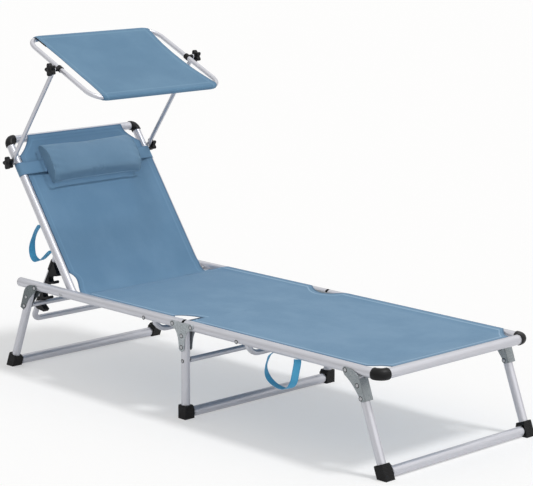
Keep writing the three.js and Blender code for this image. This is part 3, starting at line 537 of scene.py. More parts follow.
hinge_flank = ((hinge_foot_half, -hinge_down + 0.006), (hinge_foot_half + 0.002, -0.024),
               (hinge_half - 0.008, -0.0125))
hinge_outline = (
    arc(hinge_half, 0, ear_radius, -78, 90)
    + [(0.012, ear_radius), (0.008, ear_radius - 0.0012), (-0.008, ear_radius - 0.0012),
       (-0.012, ear_radius)]
    + arc(-hinge_half, 0, ear_radius, 90, 258)
    + curve(*[(-x, z) for x, z in reversed(hinge_flank)])
    + arc(0, -hinge_down + hinge_foot_half, hinge_foot_half, 205, 335, 8)
    + curve(*hinge_flank)
)
for where, side in sides:
    for word, near_face, far_face in (
        ("outer", plate_outside, plate_outside + sheet_gauge),
        ("inner", plate_inside - sheet_gauge, plate_inside),
    ):
        plate = bmesh.new()
        slab(plate, hinge_outline, side * near_face, side * far_face, soften=0.0007)
        if word == "outer":
            face = side * (far_face - 0.0004)
            rib = [(-0.019, -0.0185), (0.019, -0.0185), (0.016, -0.0215), (-0.016, -0.0215)]
            slab(plate, rib, face, side * (far_face + 0.0009), soften=0.0006)
        piece(f"hinge_plate_{word}_sheet_{where}", plate, zinc_painted_light, "middle_leg",
              [f"hinge_plate_{word}_{where}"], middle, flat=True)
hinge_places = []
for where, side in sides:
    for x, z in [(-hinge_half, 0), (hinge_half, 0)] + [(0, -down) for down in hinge_rivets_down]:
        hinge_places.append((x, z, side * (plate_outside + sheet_gauge), side, 0.0052))
        hinge_places.append((x, z, side * (plate_inside - sheet_gauge), -side, 0.0052))
    hinge_places.append((0, -middle_brace_down, side * (leg_side + leg_radius), side, 0.0042))
riveted("middle_leg", hinge_places, "middle_leg", middle)

# Seat rails. Two straight aluminium tubes with a grey cap at the head, a black plug at the middle
# hinge and the pins of the backrest through them. A bowed tube below keeps them apart.
seat_rail_end = 0.757
rail_inner_end = 0.005
cap_thickness = 0.004
plug_thickness = 0.0016
seat_bow_at = -0.165
bow_collar_down = 0.007

grey = Finish("grey_moulded_plastic")
flow = grey.noise(grey.place(), 300.0, 2.0)
grey.surface(
    Base_Color=grey.blend(flow, shade(166, 168, 173), shade(178, 180, 185)),
    Roughness=0.5,
    Normal=grey.bump(flow, 0.2, 0.0001),
)


def bow(word, x):
    """A thin tube bowed down under the cloth, its two ends flattened and riveted to the rails."""
    reach = leg_side - rail_radius - 0.003 - brace_radius
    bm = bmesh.new()
    bent_tube(bm, [(x, -reach, 0.002), (x, -reach, -0.050), (x, reach, -0.050), (x, reach, 0.002)],
              0.046, brace_radius, around=24)
    collar = [(0, 0), (0.0032, 0), (0.006, 0.0004), (0.006, 0.0106), (0.0032, 0.011), (0, 0.011)]
    for _, side in sides:
        spun(bm, collar, (x, side * reach, -bow_collar_down), (0, side, 0))
    piece(f"{word}_bow_tube", bm, satin.material, f"{word}_frame", [f"{word}_bow"],
          middle)
    outside = leg_side + rail_radius
    riveted(f"{word}_rail", [(x, -bow_collar_down, side * outside, side, 0.0044) for _, side in sides],
            f"{word}_frame", middle)


def end_plug(bm, x, y, outward, thickness, radius=rail_radius):
    """A plug in the end of a rail: a rounded flange outside and a spigot inside."""
    spigot = radius - tube_wall - clearance
    profile = [
        (0, thickness), (radius - 0.0024, thickness), (radius - 0.0009, thickness - 0.0006),
        (radius, max(thickness - 0.002, 0.0004)), (radius, 0), (spigot, 0), (spigot, -0.010), (0, -0.010),
    ]
    spun(bm, profile, (x, y, 0), (outward, 0, 0), 32)


for where, side in sides:
    tube_piece(f"seat_rail_tube_{where}", [(-end, side * leg_side, 0)
                                           for end in (seat_rail_end, rail_inner_end)],
               0, rail_radius, "seat_frame", [f"seat_rail_{where}"], middle)
    cap = bmesh.new()
    end_plug(cap, -seat_rail_end - clearance, side * leg_side, -1, cap_thickness)
    piece(f"seat_rail_end_cap_{where}", cap, grey.material, "seat_frame",
          [f"seat_rail_cap_{where}"], middle)
    plug = bmesh.new()
    end_plug(plug, -rail_inner_end + clearance, side * leg_side, 1, plug_thickness)
    piece(f"seat_rail_plug_{where}", plug, black.material, "seat_frame",
          [f"seat_hinge_plug_{where}"], middle)
bow("seat", seat_bow_at)

back_pivot = (-0.50518, 0.267)
back_hinge = hinged(*back_pivot, -35.5)
back_side = 0.2525
back_radius = 0.0125
back_outside = back_side + back_radius + clearance
for where, side in sides:
    pin = bmesh.new()
    stem, outer = back_side - back_radius - clearance, leg_side + rail_radius + clearance
    spun(pin, rod(0.004, outer - stem), (0, side * stem, 0), (0, side, 0))
    rivet(pin, 0, 0, side * outer, side, 0.0056, 0.002)
    rivet(pin, 0, 0, side * stem, -side, 0.0056)
    length = leg_side - rail_radius - clearance - back_outside
    spun(pin, [(0, 0), (0.0082, 0), (0.009, 0.0008), (0.009, length - 0.0008), (0.0082, length),
               (0, length)],
         (0, side * back_outside, 0), (0, side, 0))
    piece(f"backrest_pin_{where}", pin, steel.material, "seat_frame",
          [f"back_pivot_pin_{where}"], hinged(*back_pivot, 0))

# Foot frame. One aluminium tube bent round the foot end. Black covers sit over its two corners,
# and a second bowed tube runs below.
foot_rail_end = 0.745
foot_bend = 0.021
foot_bow_at = 0.222
tube_piece("foot_frame_tube", [
    (rail_inner_end, -leg_side, 0), (foot_rail_end, -leg_side, 0),
    (foot_rail_end, leg_side, 0), (rail_inner_end, leg_side, 0),
], foot_bend, rail_radius, "foot_frame", ["foot_frame"], middle, bend_steps=12)


def soft_lips(bm, radius):
    """Round the sharp lips at the mouths of a moulded sleeve."""
    soft_edges(bm, [e for e in bm.edges if e.calc_face_angle(0) > 1.2], radius, 3)


def corner_cover(name, corner, ways, bend, radius, axes, body, node):
    """A moulded sleeve round the bend of a tube, with a rolled lip at both mouths."""
    tail = bend + 0.003
    outer, wall = radius + 0.0023, 0.0021
    route = [Vector(corner) + Vector(ways[0]) * tail, Vector(corner),
             Vector(corner) + Vector(ways[1]) * tail]
    bm = bmesh.new()
    bent_tube(bm, route, bend, outer, wall, bend_steps=12, depth=0.0006)
    soft_lips(bm, 0.0009)
    piece(name, bm, black.material, body, [node], axes)


for where, side in sides:
    corner_cover(f"foot_corner_cover_{where}", (foot_rail_end, side * leg_side, 0),
                 ((-1, 0, 0), (0, -side, 0)),
                 foot_bend, rail_radius, middle, "foot_frame", f"foot_corner_{where}")
    plug = bmesh.new()
    end_plug(plug, rail_inner_end - clearance, side * leg_side, -1, plug_thickness)
    piece(f"foot_rail_plug_{where}", plug, black.material, "foot_frame",
          [f"foot_hinge_plug_{where}"], middle)
bow("foot", foot_bow_at)

# Leaning legs. A U tube at each end of the lounger, folded on pressed zinc channels: two cheeks
# with an ear at the rail and a web down the outside of the tube, riveted through it.
leg_offset = 0.027
leg_pivot_drop = 0.004
pivot_above_bar = 0.253
leg_lean = 21.2
lean = math.radians(leg_lean)
leaning_foot = -pivot_above_bar / math.cos(lean) - leg_offset * math.tan(lean)
below_rail = leg_pivot_drop - rail_radius - 0.001
leaning_top = (below_rail - (leg_offset + leg_radius) * math.sin(lean)) / math.cos(lean)
web_inside = leg_offset + leg_radius + clearance
web_outside = web_inside + sheet_gauge
bracket_length = 0.092
bracket_neck = 0.026
bracket_web_top = 0.031
bracket_rivets_down = (0.047, 0.082)
rear_brace_down = 0.079


def drawn_in(y, z):
    """A bracket's cheeks come closer to the tube the lower they are."""
    return leg_side + (y - leg_side) * (1 - 0.13 * min(1, max(0, -z / bracket_length)))


# Darker copies of the same zinc plating, painted shade: a little darker for the front brackets, much darker
# for the rear brackets.
zinc_painted_half_shade = zinc_plated("zinc_plate_painted_half_shade", shade(128, 135, 138), shade(160, 166, 170))
zinc_painted_shade = zinc_plated("zinc_plate_painted_shade", shade(88, 96, 98), shade(120, 127, 130))
for word, outward, pivot_x, down, plating in (
    ("rear", -1, -0.62909, rear_brace_down, zinc_painted_shade),
    ("front", 1, 0.67673, 0, zinc_painted_half_shade),
):
    axes = hinged(pivot_x, 0.268, -leg_lean * outward)
    body = f"{word}_leg"
    x = outward * leg_offset
    tube_piece(f"{word}_leg_tube", u_shape(x, leg_side, leaning_top, leaning_foot), leg_bend, leg_radius,
               body, [body], axes)
    floor_bar(f"{word}_leg_floor_bar", x, leaning_foot, body, axes)
    if down:
        tube_piece(f"{word}_leg_cross_brace", side_to_side(x, brace_reach, -down), 0, brace_radius,
                   body, [f"{word}_leg_brace"], axes, around=24)
    cheek = (
        [(bracket_neck, -bracket_length), (web_outside - 0.001, -bracket_length)]
        + [(web_outside, -bracket_length + 0.001), (web_outside, -bracket_web_top)]
        + curve((web_outside, -bracket_web_top), (web_outside - 0.003, -0.014),
                (leg_offset - 0.006, -0.0005), 6)[1:]
        + arc(0, 0, ear_radius, 40, 205, 12)
        + curve((-0.0075, -0.012), (0.014, -0.036), (bracket_neck, -bracket_length), 9)[:-1]
    )
    sheet_in, sheet_out = plate_inside - sheet_gauge, plate_outside + sheet_gauge
    rivet_places = []
    for where, side in sides:
        shoe(f"{word}_shoe_moulded_{where}", side, axes, x, leaning_foot, body, f"{word}_shoe_{where}")
        bracket = bmesh.new()
        outline = [(outward * a, b) for a, b in cheek]
        slab(bracket, outline, side * plate_outside, side * sheet_out, soften=0.0007)
        slab(bracket, outline, side * sheet_in, side * plate_inside, soften=0.0007)
        web = [(web_inside, sheet_in), (web_outside, sheet_in), (web_outside, sheet_out),
               (web_inside, sheet_out)]
        slab(bracket, [(outward * a, side * b) for a, b in web], -bracket_length, -bracket_web_top, "XY",
             0.0008)
        for v in bracket.verts:
            v.co.y = side * drawn_in(abs(v.co.y), v.co.z)
        piece(f"{word}_bracket_channel_{where}", bracket, plating, body,
              [f"{word}_bracket_{where}"], axes, flat=True)
        places = [(0, 0)] + [(x, -d) for d in (bracket_rivets_down[:1] if down else bracket_rivets_down)]
        places += [(x, -down)] if down else []
        for a, b in places:
            rivet_places.append((a, b, side * drawn_in(sheet_out, b), side, 0.0052))
            rivet_places.append((a, b, side * drawn_in(sheet_in, b), -side, 0.0052))
    riveted(f"{word}_leg", rivet_places, body, axes)

# Back frame. An aluminium U tube hung between the seat rails, its open ends at the hinge. Black
# covers sit on the two top corners, and zinc ears behind carry the support bail.
back_length = 0.527
back_bend = 0.017
back_tail = 0.014
tube_piece("back_frame_tube", u_shape(0, back_side, -back_tail, back_length), back_bend, back_radius,
           "backrest", ["back_frame"], back_hinge, bend_steps=12)

bail_up = 0.154
bail_behind = 0.017
bail_side = 0.222
bail_radius = 0.009
bail_reach = bail_radius + clearance
for where, side in sides:
    corner_cover(f"back_corner_cover_{where}", (0, side * back_side, back_length),
                 ((0, 0, -1), (0, -side, 0)),
                 back_bend, back_radius, back_hinge, "backrest", f"back_corner_{where}")
    ear = bmesh.new()
    face = back_side - back_radius - clearance
    outline = arc(-bail_behind, bail_up, 0.010, 90, 270) + arc(0, bail_up, 0.0038, -90, 90, 6)
    slab(ear, outline, side * face, side * (face - 0.003), soften=0.0006)
    pin_end = bail_side - bail_reach
    spun(ear, rod(0.004, face - pin_end), (-bail_behind, side * pin_end, bail_up), (0, side, 0))
    spun(ear, rod(0.007, face - bail_side - bail_reach),
         (-bail_behind, side * (bail_side + bail_reach), bail_up), (0, side, 0))
    rivet(ear, -bail_behind, bail_up, side * pin_end, -side, 0.0054)
    piece(f"bail_ear_plate_{where}", ear, zinc_painted_light, "backrest",
          [f"bail_ear_{where}"], back_hinge, flat=True)

# Support bail. A thin aluminium U tube behind the back that swings on the ears. Each arm carries a
# black moulded rack whose notches catch the rear leg's brace, clipped round the tube.
bail_axes = hinged(-0.60845, 0.3825, 29.17)
bail_length = 0.277
bail_bend = 0.026
tube_piece("support_bail_tube", u_shape(0, bail_side, 0.012, -bail_length), bail_bend, bail_radius,
           "support_bail", ["support_bail"], bail_axes, around=28)

rack_thickness = 0.0194
rack_last_notch = 0.1922
rack_pitch = 0.030
notch_out = 0.022
notch_radius = 0.010
tip_out, tip_up = 0.042, 0.035
tip_radius = 0.0048
clip_radius, clip_length = 0.0113, 0.034
first_notch = rack_last_notch - 3 * rack_pitch
rack_outline = [(0, 0.054 - first_notch), (0.011, 0.054 - first_notch), (0.014, 0.051 - first_notch)]
for k in range(4):
    z = -first_notch - k * rack_pitch
    rack_outline += arc(tip_out - tip_radius, z + tip_up - 0.0042, tip_radius, 120, -54, 8)
    rack_outline += arc(notch_out, z, notch_radius, 126, 270, 9)
rack_outline += [
    (0.040, -rack_last_notch - notch_radius - 0.002), (0.042, -rack_last_notch - notch_radius - 0.005),
    (0.040, -rack_last_notch - 0.023), (0.012, -rack_last_notch - 0.034), (0, -rack_last_notch - 0.036),
]
for where, side in sides:
    rack = bmesh.new()
    start = side * bail_side - rack_thickness / 2
    slab(rack, rack_outline, start, start + rack_thickness, soften=0.0012, rounds=3)
    for low in (rack_last_notch + 0.030, first_notch - 0.020):
        bent_tube(rack, [(0, side * bail_side, -low), (0, side * bail_side, -low + clip_length)], 0,
                  clip_radius,
                  0.002, around=28, depth=0.0005)
    piece(f"bail_rack_moulded_{where}", rack, black.material, "support_bail",
          [f"bail_rack_{where}"], bail_axes, flat=True)

# Canopy arms. Thin aluminium tubes, pressed flat at both ends into eyes for the knobs' screws.
arm_axes = hinged(-0.76708, 0.63417, 35.3)
arm_side = 0.2742
arm_length = 0.372
arm_radius = 0.0065
arm_flat = 0.0023
arm_eye = 0.008
for where, side in sides:
    arm = bmesh.new()
    eye = [(t, arm_eye * math.sqrt(max(0.0, 1 - t * t))) for t in (-0.985, -0.93, -0.8, -0.6, -0.3, 0)]
    stations = [(t * arm_eye, r, arm_flat) for t, r in eye] + [(0.008, 0.0082, arm_flat)]
    stations += [(0.013, 0.0079, 0.0031), (0.018, 0.0072, 0.0046)]
    stations += [(0.024, arm_radius, 0.0062), (0.028, arm_radius, arm_radius)]
    stations += [(arm_length - z, rx, ry) for z, rx, ry in reversed(stations)]
    place = Matrix.Translation((0, side * arm_side, stations[0][0]))
    verts, edges, lay = first_ring(arm, arm_radius, place, 28)
    bmesh.ops.contextual_create(arm, geom=edges)
    rings = [verts]
    for _ in stations[1:]:
        verts, edges = ring_of(bmesh.ops.extrude_edge_only(arm, edges=edges)["geom"])
        rings.append(verts)
    bmesh.ops.contextual_create(arm, geom=edges)
    for (z, wide, deep), verts in zip(stations, rings):
        for v in verts:
            v.co = (v[lay].x / arm_radius * wide, side * arm_side + v[lay].y / arm_radius * deep, z)
            v[lay].z = z
    piece(f"canopy_arm_tube_{where}", arm, satin.material, "canopy_arms",
          [f"canopy_arm_{where}"], arm_axes)

# Clamping knobs. Black five-lobed stars on steel screws: two at the foot of the canopy arms and
# two at the canopy frame. Each turns on its own screw.
knob_radius, knob_valley = 0.020, 0.0125
knob_thickness = 0.015
knob_hub = 0.0036
arm_out = arm_side + arm_flat + clearance
arm_in = arm_side - arm_flat - clearance
canopy_side = 0.252
canopy_radius = 0.007
lower_screw_end = back_outside - 0.006
upper_screw_end = canopy_side + canopy_radius + 2 * clearance
for level, z, screw_end in (("lower", 0, lower_screw_end), ("upper", arm_length, upper_screw_end)):
    for where, side in sides:
        knob = bmesh.new()
        star = []
        for k in range(70):
            angle = 2 * math.pi * k / 70
            wave = ((1 + math.cos(5 * angle)) / 2) ** 0.85
            reach = knob_valley + (knob_radius - knob_valley) * wave
            star.append((reach * math.cos(angle), z + reach * math.sin(angle)))
        star_in = arm_out + knob_hub
        slab(knob, star, side * star_in, side * (star_in + knob_thickness), soften=0.0024, rounds=4)
        hub = [(0, 0), (0.009, 0), (0.0095, 0.0008), (0.0095, knob_hub + 0.001), (0, knob_hub + 0.001)]
        spun(knob, hub, (0, side * arm_out, z), (0, side, 0), 28)
        dome = [(0, 0.0016), (0.004, 0.0014), (0.0068, 0.0007), (0.0078, 0), (0.0078, -0.0006),
                (0, -0.0006)]
        spun(knob, dome, (0, side * (star_in + knob_thickness), z), (0, side, 0), 28)
        piece(f"{level}_star_knob_{where}", knob, black.material, f"{level}_knob_{where}",
              [f"{level}_knob_{where}"], arm_axes, flat=True)
        screw = bmesh.new()
        spun(screw, rod(0.003, star_in - screw_end), (0, side * screw_end, z), (0, side, 0))
        if level == "lower":
            length = arm_in - back_outside
            spun(screw, [(0, 0), (0.0076, 0), (0.008, 0.0005), (0.008, length - 0.0005), (0.0076, length),
                         (0, length)],
                 (0, side * back_outside, z), (0, side, 0), 28)
        piece(f"{level}_knob_screw_{where}", screw, steel.material, f"{level}_knob_{where}",
              axes=arm_axes)

# Canopy frame. One thin aluminium tube bent to a rectangle with wide corners, its two ends butted
# inside the rear sleeve of the cloth. A black clamp at the middle of each side holds it to an arm.
canopy_axes = hinged(-0.55211, 0.93777, 24.5)
canopy_half = 0.179
canopy_bend = 0.050
clamp_half, clamp_radius = 0.0075, 0.0094
tube_piece("canopy_frame_tube", [
    (-canopy_half, 0.0004, 0), (-canopy_half, canopy_side, 0), (canopy_half, canopy_side, 0),
    (canopy_half, -canopy_side, 0), (-canopy_half, -canopy_side, 0), (-canopy_half, -0.0004, 0),
], canopy_bend, canopy_radius, "canopy", ["canopy_frame"], canopy_axes, around=24, bend_steps=14)
for where, side in sides:
    clamp = bmesh.new()
    bent_tube(clamp, [(-clamp_half, side * canopy_side, 0), (clamp_half, side * canopy_side, 0)], 0,
              clamp_radius,
              0.0022, around=28, depth=0.0005)
    soft_lips(clamp, 0.0008)
    boss = arm_in - canopy_side
    spun(clamp, [(0, 0), (0.0068, 0), (0.0068, boss - 0.0008), (0.0060, boss), (0, boss)],
         (0, side * canopy_side, 0), (0, side, 0), 28)
    piece(f"canopy_clamp_moulded_{where}", clamp, black.material, "canopy",
          [f"canopy_clamp_{where}"], canopy_axes, flat=True)

# Sling cloths of the seat, the foot part and the back. A dense woven sheet hangs between two rails,
# its near hem corded, its far hem laid over the tube. The corners are cut away round the hinges,
# and the back's lower end curves into the seat.
cloth_gauge = 0.0014
weave_pitch = 0.0016
hem_width = 0.0185


def woven(name, tint, deep, pale, dark, relief=0.5, crook_shade=None):
    """A dense plain weave. Its lay places painted shade along its edge, a painted highlight on its hem's
    seam and, where a deeper tint is given, painted shade near the crook.
    """
    cloth = Finish(name)
    lay = cloth.attribute()
    rate = 2 * math.pi / weave_pitch
    warp = cloth.node("Math", {"operation": "SINE"}, {0: cloth.part(lay, 0) * rate})
    weft = cloth.node("Math", {"operation": "SINE"}, {0: cloth.part(lay, 1) * rate})
    thread = warp * weft * 0.5 + 0.5
    hem = cloth.part(lay, 2)
    folded = cloth.ease(hem, hem_width - 0.0004, hem_width + 0.0004, 1.0, 0.0)
    # The pale line on the hem's seam is a painted highlight, and the dark rim along the cloth's edge is
    # painted shade.
    sewn = cloth.ease(abs(hem - hem_width), 0.0014, 0.0040, 1.0, 0.0)
    rim = cloth.ease(hem, 0.0030, 0.0075, 1.0, 0.0)
    wash = cloth.noise(lay, 6.0, 4.0, 0.6)
    slub = cloth.noise(cloth.stretch(lay, (1, 0.04, 0)), 500.0, 2.0)
    base = cloth.blend(cloth.ease(wash, 0.3, 0.7), tint, deep)
    # Painted shade: a deeper tint near the crook, where the back shades the seat.
    if crook_shade:
        base = cloth.blend(cloth.ease(cloth.part(lay, 1), 0.03, 0.42), crook_shade, base)
    base = cloth.blend(cloth.ease(slub, 0.55, 0.75) * 0.12, base, pale)
    base = cloth.blend(thread * 0.15, base, dark)
    # Painted shade along the cloth's edge.
    base = cloth.blend(rim * 0.6, base, dark)
    cloth.surface(
        # Painted highlight on the hem's seam.
        Base_Color=cloth.blend(sewn * 0.65, base, pale),
        Roughness=cloth.ease(wash, 0.3, 0.7, 0.66, 0.78),
        Normal=cloth.bump(thread * 0.35 + folded * 0.9 + sewn * 0.5, relief, 0.0004),
        Sheen_Weight=0.12,
        Sheen_Roughness=0.45,
        Specular_IOR_Level=0.35,
    )
    return cloth.material


# The seat's and foot's cloth, with a deeper tint near the crook as painted shade.
sling = woven("blue_sling_cloth", shade(111, 149, 180), shade(105, 143, 174), shade(158, 188, 212),
              shade(58, 90, 120),
              crook_shade=shade(99, 138, 170))
# The back's cloth and its band: a darker copy of the same sling cloth, painted shade on the whole back.
back_weave_painted_shade = woven("blue_back_cloth_painted_shade", shade(104, 142, 173), shade(98, 136, 167), shade(109, 147, 178),
                   shade(62, 94, 124))


def edge_cut(gap, along, across, fullness=1):
    """How far a rounded cut draws the edge in, so far from the sheet's end."""
    t = (math.sqrt(0.64 + 0.8 * min(max(gap, 0) / along, 1)) - 0.8) / 0.4
    return across * (1 - t * t) ** fullness


def measured(route):
    """The length of a route of points up to each of them."""
    lengths = [0.0]
    for a, b in zip(route, route[1:]):
        lengths.append(lengths[-1] + math.dist(a, b))
    return lengths


def spot_on(route, lengths, place):
    """The point and the upward normal of a route at a length along it."""
    i = 1
    while i < len(route) - 1 and lengths[i] < place:
        i += 1
    (x0, z0), (x1, z1) = route[i - 1], route[i]
    share = (place - lengths[i - 1]) / (lengths[i] - lengths[i - 1])
    run = Vector((x1 - x0, z1 - z0)).normalized()
    return Vector((x0 + (x1 - x0) * share, z0 + (z1 - z0) * share)), Vector((-run.y, run.x))


def over_tube(y, tube_side, top, lift):
    """The rise that takes a cloth over the top of the far tube and a little down its outer side."""
    share = min(max((y - tube_side + 0.037) / 0.037, 0), 1)
    past = max(y - tube_side, 0)
    return (top - lift) * share * share * (3 - 2 * share) - top + math.sqrt(top * top - past * past)


def over_far_rail(place, y):
    """The rise of the seat's and the foot part's cloths."""
    return over_tube(y, leg_side, rail_radius + 0.0004, cloth_lift)


def sling_panel(name, weave, route, half_at, corded, hemmed, sag, creases, axes, body, node,
                laid_over,
                start=0.0, blends=False):
    """A sling cloth along a route, half_at wide at each length of it, and the cord in its near hem."""
    lengths = measured(route)
    total = lengths[-1]
    bm = bmesh.new()
    bmesh.ops.create_grid(bm, x_segments=int(total / 0.005), y_segments=56, size=0.5)
    lay = bm.verts.layers.float_vector.new("lay")
    widest = max(half_at(total * k / 50, -1) + half_at(total * k / 50, 1) for k in range(51))
    for v in bm.verts:
        place, across = (v.co.x + 0.5) * total, math.sin(math.pi * v.co.y)
        width = half_at(place, across)
        y = across * width
        spot, normal = spot_on(route, lengths, place)
        held = min([1] + [gap / 0.07 for gap, sewn in zip((place, total - place), hemmed) if sewn])
        level = 0 if blends else min((start + place) / seat_length, 1)
        outward = min(abs(across + (2 * y / widest - across) * level), 1)
        slack = (1 - outward ** 2.2) * held * held * (3 - 2 * held)
        rise = noise.noise(Vector(((start + place) * 9, y * 5, 0.55))) * 0.0010 * slack - sag * slack
        rise += sum(strength * math.sin((place - x0) * turn + (y - y0) * slant)
                    * math.exp(-((place - x0) ** 2 + (y - y0) ** 2) / reach ** 2)
                    for x0, y0, strength, turn, slant, reach in creases)
        rise += laid_over(place, y)
        v.co = (spot.x + normal.x * rise, y, spot.y + normal.y * rise)
        ends = [gap for gap, sewn in zip((place, total - place), hemmed) if sewn]
        # The distance to an edge or hem in the lay places the painted shade along the cloth's edge and the
        # painted highlight on the hem's seam.
        v[lay] = (y, start + place, min([width - abs(y)] + ends))
    bmesh.ops.recalc_face_normals(bm, faces=bm.faces)
    facing = sum((f.normal for f in bm.faces), Vector())
    outside = spot_on(route, lengths, total / 2)[1]
    if facing.x * outside.x + facing.z * outside.y < 0:
        bmesh.ops.reverse_faces(bm, faces=bm.faces[:])
    area = sum(f.calc_area() for f in bm.faces)
    bmesh.ops.solidify(bm, geom=bm.faces[:], thickness=cloth_gauge)
    cloth = piece(name, bm, weave, "" if blends else body, [node], axes)
    beads = bmesh.new()
    inset = half_at(sum(corded) / 2, -1) - bead_radius
    ends = []
    for place in corded:
        spot, normal = spot_on(route, lengths, place)
        ends.append((spot.x + normal.x * bead_lift, -inset, spot.y + normal.y * bead_lift))
    bent_tube(beads, ends, 0, bead_radius, 0.0008, around=16, depth=0.0005)
    lay = beads.verts.layers.float_vector["lay"]
    for v in beads.verts:
        # Painted shade: the bead's outer side takes the cloth's dark rim, its inner side hardly any.
        v[lay] = (v.co.y, v[lay].z, 0.001 if abs(v.co.y) > inset + 0.5 * bead_radius else 0.007)
    bead = piece(name + "_corded_hem", beads, weave, body, axes=axes)
    return cloth


bead_radius = 0.0027
bead_lift = -0.0004
cloth_lift = 0.0095
seat_half = 0.2752
seat_far_half = 0.2910
back_half = 0.2413
back_far_half = 0.2555
crook = Vector((-0.466, 0, 0.2690))
crook_half = 0.250

crook_on_seat = middle.inverted() @ crook
dip_length = 0.066
seat_route = []
for k in range(25):
    x = crook_on_seat.x + dip_length * k / 24
    dip = (cloth_lift - crook_on_seat.z) * (1 + math.cos(math.pi * k / 24)) / 2
    seat_route.append((x, cloth_lift - dip))
seat_route.append((-0.00005, cloth_lift))
seat_length = measured(seat_route)[-1]


def seat_half_at(place, side):
    """The seat cloth's reach to one side."""
    at_hinge = (0.080, 0.058, 0.5) if side < 0 else (0.074, 0.036)
    cuts = edge_cut(place, 0.060, seat_half - crook_half) + edge_cut(seat_length - place, *at_hinge)
    return (seat_half if side < 0 else seat_far_half) - cuts


sling_panel("seat_sling", sling, seat_route, seat_half_at, (0.058, seat_length - 0.064), (False, False),
            0.0035,
            [(0.02, 0.20, 0.0010, 95, -60, 0.06), (0.02, -0.20, 0.0010, 95, 60, 0.06)],
            middle, "seat_frame", "seat_cloth",
            over_far_rail)

foot_route = [(0.00005, cloth_lift), (0.3, cloth_lift), (foot_rail_end - 0.0118, cloth_lift)]
foot_length = measured(foot_route)[-1]


def foot_half_at(place, side):
    """The foot cloth's reach to one side. It covers more of the near rail at the middle hinge."""
    at_hinge = (0.010, 0.012) if side < 0 else (0.074, 0.036)
    reach = seat_half if side < 0 else seat_far_half
    return reach - edge_cut(place, *at_hinge) - edge_cut(foot_length - place, 0.062, 0.050)


sling_panel("foot_sling", sling, foot_route, foot_half_at, (0.064, foot_length - 0.060), (False, True),
            0.0035,
            [(0.66, -0.20, 0.0008, 110, 80, 0.06)],
            middle, "foot_frame", "foot_cloth", over_far_rail, start=seat_length)

back_front = 0.0075
back_fold = 0.056
crook_on_back = back_hinge.inverted() @ crook
toward_seat = back_hinge.to_3x3().inverted() @ Vector((1, 0, 0))
bend_point = crook_on_back + toward_seat * (back_front - crook_on_back.x) / toward_seat.x
back_route = [
    (0.0136, back_length + 0.0035), (0.0142, back_length - 0.001), (0.0132, back_length - 0.007),
    (0.0100, back_length - 0.0135), (0.0082, back_length - 0.021), (back_front, back_length - 0.030),
]
back_route += curve((back_front, back_fold), (bend_point.x, bend_point.z),
                    (crook_on_back.x, crook_on_back.z), 16)
back_route_length = measured(back_route)[-1]


band_low, band_high = 0.400, 0.442


def below_band(place):
    """How far the far edge has spread over its tube: not above the pillow's band, fully below it."""
    share = min(max((place - back_length + band_high - 0.022) / 0.022, 0), 1)
    return share * share * (3 - 2 * share)


def back_half_at(place, side):
    """The back cloth's reach to one side: cut at the top, drawn in and out again above the seat."""
    low = min((back_route_length - place) / 0.090, 1)
    spread = (back_far_half - back_half) * below_band(place) * min(low * 2, 1) if side > 0 else 0
    waist = 0.0165 * max(0, math.sin(math.pi * low * low)) ** 0.8 if side < 0 else 0
    return back_half + spread - edge_cut(place, 0.066,
                                         0.054) - waist + (crook_half - back_half) * (1 - low) ** 4


def over_far_back_tube(place, y):
    """The rise of the back's cloth, which ends where it curves into the seat."""
    low = min((back_route_length - place) / 0.090, 1)
    return over_tube(y, back_side, back_radius + 0.0002, back_front) * below_band(place) * min(low * 2, 1)


back_sling = sling_panel(
    "back_sling", back_weave_painted_shade, back_route, back_half_at, (0.064, back_route_length - 0.095), (True, False),
    0.0045,
    [(0.50, 0.13, 0.0016, 70, 105, 0.07), (0.53, 0.20, 0.0012, 120, 60, 0.05),
     (0.52, -0.18, 0.0010, 80, -90, 0.05)],
    back_hinge, "backrest", "back_cloth", over_far_back_tube, blends=True)
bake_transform(back_sling)

# Pillow band. A strip of the same cloth across the back sling, turned round both back rails, that
# holds the pillow at the height of the head.
band_radius = back_radius + 0.0012
wrap_steps = 14
wrap = [math.radians(108 * k / wrap_steps) for k in range(wrap_steps + 1)]
across_back = [(band_radius * math.cos(a), back_side + band_radius * math.sin(a))
               for a in reversed(wrap[1:])]
across_back += [(band_radius, back_side * (1 - k / 20)) for k in range(41)]
across_back += [(band_radius * math.cos(a), -back_side - band_radius * math.sin(a)) for a in wrap[1:]]
band = bmesh.new()
lay = band.verts.layers.float_vector.new("lay")
line = [band.verts.new((x, y, band_low)) for x, y in across_back]
for v, length in zip(line, measured(across_back)):
    v[lay] = (length, 0, 0)
edges = [band.edges.new(pair) for pair in zip(line, line[1:])]
rows = 8
for k in range(1, rows + 1):
    verts, edges = ring_of(bmesh.ops.extrude_edge_only(band, edges=edges)["geom"])
    bmesh.ops.translate(band, vec=(0, 0, (band_high - band_low) / rows), verts=verts)
for v in band.verts:
    v[lay].y = v.co.z - band_low
    # Painted shade: the band's lay gives its top and bottom edges the cloth's dark rim.
    v[lay].z = min(v.co.z - band_low, band_high - v.co.z, 0.008) + 0.0035
bmesh.ops.recalc_face_normals(band, faces=band.faces)
band_area = sum(f.calc_area() for f in band.faces)
bmesh.ops.solidify(band, geom=band.faces[:], thickness=0.0008)
band_piece = piece("pillow_strap", band, back_weave_painted_shade, "backrest", ["pillow_band"], back_hinge)

